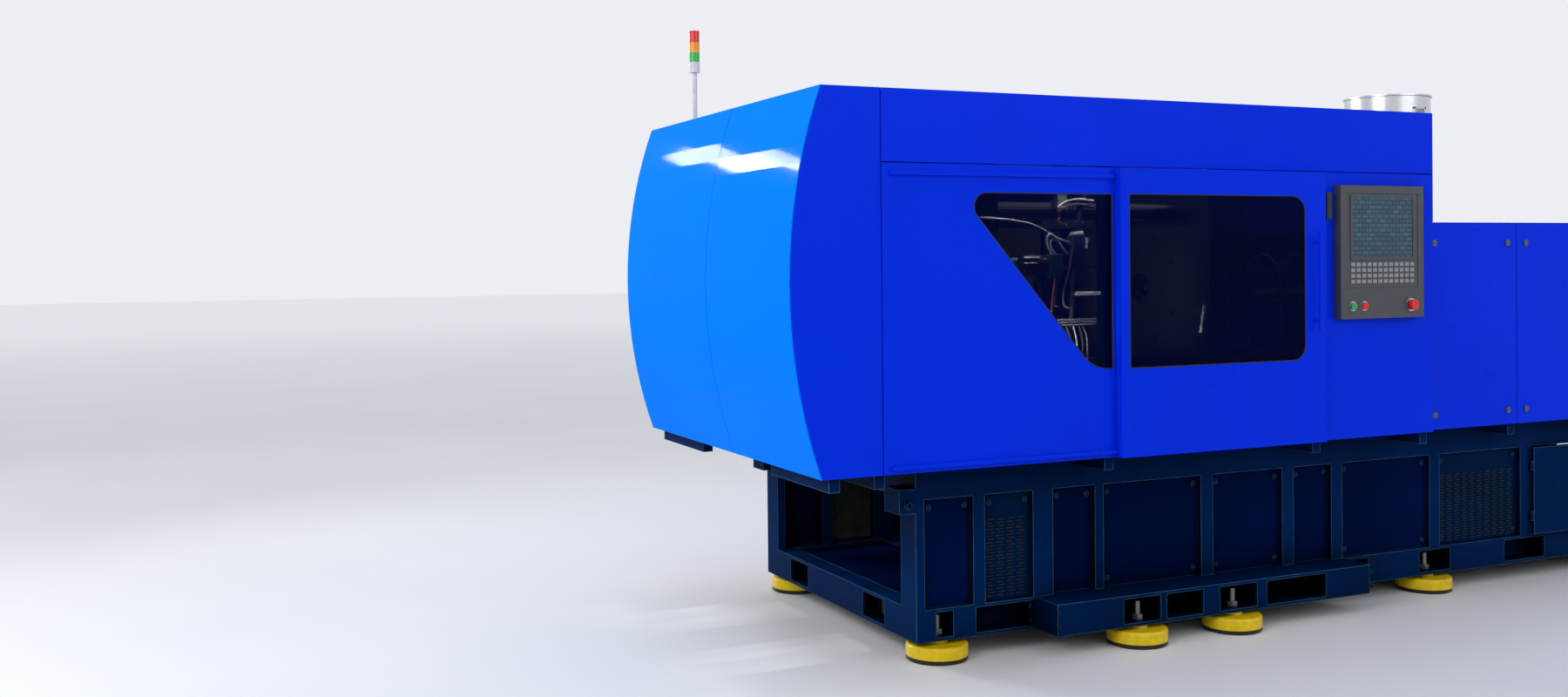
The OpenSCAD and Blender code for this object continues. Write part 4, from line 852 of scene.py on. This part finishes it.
def platen_fittings():
    """Screws round the tie bars, lifting eyes, and water manifolds with their taps."""

    def screws(shape):
        for sy in (-1, 1):
            for sz in (-1, 1):
                for k in range(8):
                    angle = math.pi / 4 * (k + 0.5)
                    y = sy * TIE_HALF + 92 * math.cos(angle)
                    z = AXIS_Z + sz * TIE_HALF + 92 * math.sin(angle)
                    add_rod(shape, (2260, y, z), (2270, y, z), 9, sides=20)

    piece("tie_bar_screws", mesh_from("tie bar screws", screws), dark_steel, "machine")

    def eyes(shape):
        for y in (-320, 320):
            add_rod(shape, (2160, y, 1730), (2160, y, 1744), 17, sides=24)
            place = Matrix.Translation(at(2160, y, 1768)) @ Matrix.Rotation(math.pi / 2, 4, "X")
            add_ring(shape, place, 24, 7)

    piece("lifting_eyes", mesh_from("lifting eyes", eyes), dark_steel, "machine")
    for side, word in SIDES:

        def manifold(shape):
            add_block(shape, (2130, 2190), between(side, 445, 485), (980, 1460), 3)

        piece(f"{word}_water_manifold", mesh_from("water manifold", manifold), box_enamel, "machine")

        def taps(shape):
            for k in range(8):
                z = 1010 + 58 * k
                add_rod(shape, (2160, side * 485, z), (2160, side * 497, z), 12, sides=6)
                add_rod(shape, (2160, side * 497, z), (2160, side * 522, z), 8, 7, sides=20)

        piece(f"{word}_water_taps", mesh_from("water taps", taps), brass, "machine")


def interlock_boxes():
    """The switch that feels the closed gate, on the console cover beside each gate."""
    for side, word in SIDES:

        def box(shape):
            add_block(shape, (2266, 2292), between(side, 845, 876), (1568, 1672), 3)
            add_block(shape, (2271, 2287), between(side, 875, 878), (1590, 1650), 1)

        piece(f"{word}_gate_switch", mesh_from("gate switch", box), rubber, "machine")


def hood_handle():
    """A bow handle on the hood over the barrel."""
    points = [
        (3020, -246, 1591), (3020, -246, 1622), (3050, -246, 1630),
        (3170, -246, 1630), (3200, -246, 1622), (3200, -246, 1591),
    ]
    tube("hood_handle", points, 6, rubber, "purge_guard")


# Control panel


def control_panel_face():
    """Screen, its surround, a block of small keys, and collars round the buttons of the control panel."""
    panel_x = (2330, 2770)
    button_z = 1230
    front = -HALF_W - 36

    def screen(shape):
        add_block(shape, (panel_x[0] + 60, panel_x[1] - 60), (front + 1, front + 2), (1420, 1655), 0.5)

    piece("screen", mesh_from("screen", screen), screen_material(), "machine")

    def surround(shape):
        x0, x1 = panel_x[0] + 50, panel_x[1] - 50
        for z in ((1410, 1420), (1655, 1665)):
            add_block(shape, (x0, x1), (front - 2, front + 2), z, 0.8)
        for x in ((x0, x0 + 10), (x1 - 10, x1)):
            add_block(shape, x, (front - 2, front + 2), (1420, 1655), 0.8)

    piece("screen_surround", mesh_from("surround", surround), panel_plastic, "machine")

    def keys(shape):
        for row in range(4):
            for column in range(12):
                x = panel_x[0] + 52 + column * 28.5
                z = 1318 + row * 22
                add_block(shape, (x, x + 21), (front - 1.5, front + 2), (z, z + 15), 1.2)

    piece("membrane_keys", mesh_from("keys", keys), grey_cable, "machine")

    def collars(shape):
        for x, radius in ((2390, 19), (2450, 19), (2700, 26)):
            add_rod(shape, (x, front - 2, button_z), (x, front + 1, button_z), radius, sides=32)

    piece("button_collars", mesh_from("collars", collars), ring_metal, "machine")


def screen_material():
    """A dark screen with plain bars and fields, and no lettering."""
    material, tree, shader = new_material("screen glass")
    coords = tree.nodes.new("ShaderNodeTexCoord")
    bricks = tree.nodes.new("ShaderNodeTexBrick")
    bricks.inputs["Scale"].default_value = 14
    bricks.inputs["Mortar Size"].default_value = 0.03
    bricks.inputs["Color1"].default_value = (0.006, 0.03, 0.06, 1)
    bricks.inputs["Color2"].default_value = (0.012, 0.055, 0.09, 1)
    bricks.inputs["Mortar"].default_value = (0.002, 0.008, 0.016, 1)
    mapping = tree.nodes.new("ShaderNodeMapping")
    mapping.inputs["Rotation"].default_value = (math.pi / 2, 0, 0)
    tree.links.new(coords.outputs["Object"], mapping.inputs["Vector"])
    tree.links.new(mapping.outputs["Vector"], bricks.inputs["Vector"])
    tree.links.new(bricks.outputs["Color"], shader.inputs["Base Color"])
    tree.links.new(bricks.outputs["Color"], shader.inputs["Emission Color"])
    shader.inputs["Emission Strength"].default_value = 0.5
    shader.inputs["Roughness"].default_value = 0.12
    return material


# Injection unit


def heater_leads():
    """Braided leads from the heater bands to a cable trough beside the barrel."""
    for k in range(1, 6):
        x = 2305 + 195 * k
        points = [
            (x, 0, 1410), (x + 6, -60, 1440), (x + 12, -130, 1400), (x + 8, -165, 1280), (x, -172, 1120),
            (x + 4, -190, 1012),
        ]
        tube(f"heater_lead_{k}", points, 4.5, braid, "injection_carriage")

    def trough(shape):
        add_block(shape, (2420, 3440), (-225, -160), (985, 990))
        for y in (-225, -163):
            add_block(shape, (2420, 3440), (y, y + 3), (985, 1025))
        add_block(shape, (3400, 3452), (-225, -160), (985, 1020))

    piece("cable_trough", mesh_from("trough", trough), bolt_steel, "injection_carriage")


def hopper_fittings():
    """A sight glass on the hopper, and its frame."""

    def glass(shape):
        add_block(shape, (3500, 3560), (-190.5, -186), (1930, 2110), 3)

    piece("hopper_sight_glass", mesh_from("sight glass", glass), guard_pane, "injection_carriage")

    def frame_bars(shape):
        for x in ((3492, 3502), (3558, 3568)):
            add_block(shape, x, (-193, -184), (1922, 2118), 1)
        for z in ((1922, 1932), (2108, 2118)):
            add_block(shape, (3492, 3568), (-193, -186), z, 1)

    mesh = mesh_from("sight glass frame", frame_bars)
    piece("sight_glass_frame", mesh, ground_steel, "injection_carriage")


# Covers of the injection end


def injection_cover_fittings():
    """Quarter turn latches in the corners of the side covers of the injection end."""
    for side, word in SIDES:
        y = side * INJECTION_FACE_Y
        grip = between(side, INJECTION_FACE_Y + 3, INJECTION_FACE_Y + 7)

        def latches(shape):
            for x in (2920, 3345, 3455, 4365, 4475, 5510):
                for z in (770, 1475):
                    add_rod(shape, (x, y, z), (x, y + side * 4, z), 14, sides=24)
                    add_block(shape, (x - 9, x + 9), grip, (z - 2.5, z + 2.5), 0.8)

        piece(f"{word}_cover_latches", mesh_from("latches", latches), dark_steel, "machine")


# Stage


def make_floor():
    """A plain pale floor that grows paler with the distance from the object."""
    material, tree, shader = new_material("floor")
    clouds = noise(tree, 0.6, 3)
    tone = ramp(tree, clouds.outputs["Fac"], [(0.3, (0.66, 0.67, 0.685)), (0.7, (0.7, 0.71, 0.72))])
    coords = tree.nodes.new("ShaderNodeTexCoord")
    reach = tree.nodes.new("ShaderNodeVectorMath")
    reach.operation = "LENGTH"
    tree.links.new(coords.outputs["Object"], reach.inputs[0])
    away = tree.nodes.new("ShaderNodeMapRange")
    away.inputs["From Min"].default_value = 6
    away.inputs["From Max"].default_value = 30
    tree.links.new(reach.outputs["Value"], away.inputs["Value"])
    paler = mixed(tree, away.outputs["Result"], tone.outputs["Color"], (0.97, 0.97, 0.98))
    tree.links.new(paler, shader.inputs["Base Color"])
    shader.inputs["Roughness"].default_value = 0.5
    shader.inputs["Specular IOR Level"].default_value = 0.25

    def sheet(shape):
        bmesh.ops.create_grid(shape, x_segments=1, y_segments=1, size=60)

    mesh = mesh_from("floor", sheet)
    floor = bpy.data.objects.new("floor", mesh)
    mesh.materials.append(material)
    bpy.context.scene.collection.objects.link(floor)


def make_world():
    """Even pale surroundings: plain light on the object, and a pale backdrop for the camera and in gloss."""
    world = bpy.data.worlds.new("studio")
    bpy.context.scene.world = world
    world.use_nodes = True
    tree = world.node_tree
    background = tree.nodes["Background"]
    rays = tree.nodes.new("ShaderNodeLightPath")
    seen = rays.outputs["Is Camera Ray"]
    for kind in ("Is Glossy Ray", "Is Transmission Ray"):
        either = tree.nodes.new("ShaderNodeMath")
        either.operation = "MAXIMUM"
        tree.links.new(seen, either.inputs[0])
        tree.links.new(rays.outputs[kind], either.inputs[1])
        seen = either.outputs["Value"]
    strength = tree.nodes.new("ShaderNodeMapRange")
    strength.inputs["To Min"].default_value = 0.82
    strength.inputs["To Max"].default_value = 0.9
    tree.links.new(seen, strength.inputs["Value"])
    background.inputs["Color"].default_value = (0.93, 0.95, 1, 1)
    tree.links.new(strength.outputs["Result"], background.inputs["Strength"])


def area_light(name, place, target, size, power, angle=180):
    """A rectangular lamp that looks at the target; angle is the width of its beam in degrees."""
    light = bpy.data.lights.new(name, "AREA")
    light.shape = "RECTANGLE"
    light.size = size[0]
    light.size_y = size[1]
    light.energy = power
    light.spread = math.radians(angle)
    lamp = bpy.data.objects.new(name, light)
    lamp.location = place
    lamp.rotation_euler = (Vector(target) - Vector(place)).to_track_quat("-Z", "Y").to_euler()
    lamp.visible_camera = False
    bpy.context.scene.collection.objects.link(lamp)


# Places of the long lamps that show as streaks in the gloss of the end cover
STRIPS = [(-6.2, 7.5, 3.9), (-8.2, 12, 5)]

# Middle of the small lamps that light the fittings behind the side windows
WORK_LAMP_X = 1010
LOW_LAMP_X = 1005


def make_lights():
    """Lamps round the object, and two small ones behind each side window."""
    area_light("key", (-8, -3, 4), (-2.5, 0, 1.5), (4, 2.5), 33, 75)
    area_light("fill", (2, -8, 4.5), (0, 0, 1), (6, 3), 110)
    area_light("top", (0, 0, 6), (0, 0, 0), (8, 3), 90)
    for k, (x, y, z) in enumerate(STRIPS):
        area_light(f"strip {k}", (x, y, z), (-2.8, 0, 1.5), (3.2, 0.35), 36, 60)
    for side, word in SIDES:
        place = at(WORK_LAMP_X, side * 830, 1690)
        area_light(f"{word} work lamp", place, at(WORK_LAMP_X, side * 760, 1400), (0.5, 0.014), 6, 110)
        low = at(LOW_LAMP_X, side * 826, 1110)
        area_light(f"{word} low lamp", low, at(LOW_LAMP_X + 200, side * 765, 1170), (0.014, 0.16), 2, 80)


def make_camera():
    """The photograph's camera, from its vanishing lines and known points of the machine."""
    sensor_mm = 36
    focal_px = 1623.7
    image_w = 1800
    centre_y = 400
    principal_y = 316.05
    yaw = -0.421231
    pitch = -0.009411
    roll = -0.009711
    camera_data = bpy.data.cameras.new("photograph")
    camera_data.sensor_width = sensor_mm
    camera_data.lens = sensor_mm * focal_px / image_w
    camera_data.shift_y = (principal_y - centre_y) / image_w
    camera_data.clip_end = 200
    camera = bpy.data.objects.new("photograph", camera_data)
    place = Vector((-4.678, -4.997, 1.4234))
    turn = Matrix.Rotation(yaw, 4, "Z") @ Matrix.Rotation(math.pi / 2 + pitch, 4, "X")
    camera.matrix_world = Matrix.Translation(place) @ turn @ Matrix.Rotation(roll, 4, "Z")
    bpy.context.scene.collection.objects.link(camera)
    bpy.context.scene.camera = camera


bpy.context.scene.view_settings.view_transform = "Standard"
dress_nodes()
window_beads()
for side, word in SIDES:
    distributor(side, word)
    window_hoses(side, word)
    window_rails(side, word)
base_linings()
base_fasteners()
main_switch()
rear_services()
platen_fittings()
interlock_boxes()
hood_handle()
control_panel_face()
heater_leads()
hopper_fittings()
injection_cover_fittings()
make_floor()
make_world()
make_lights()
make_camera()
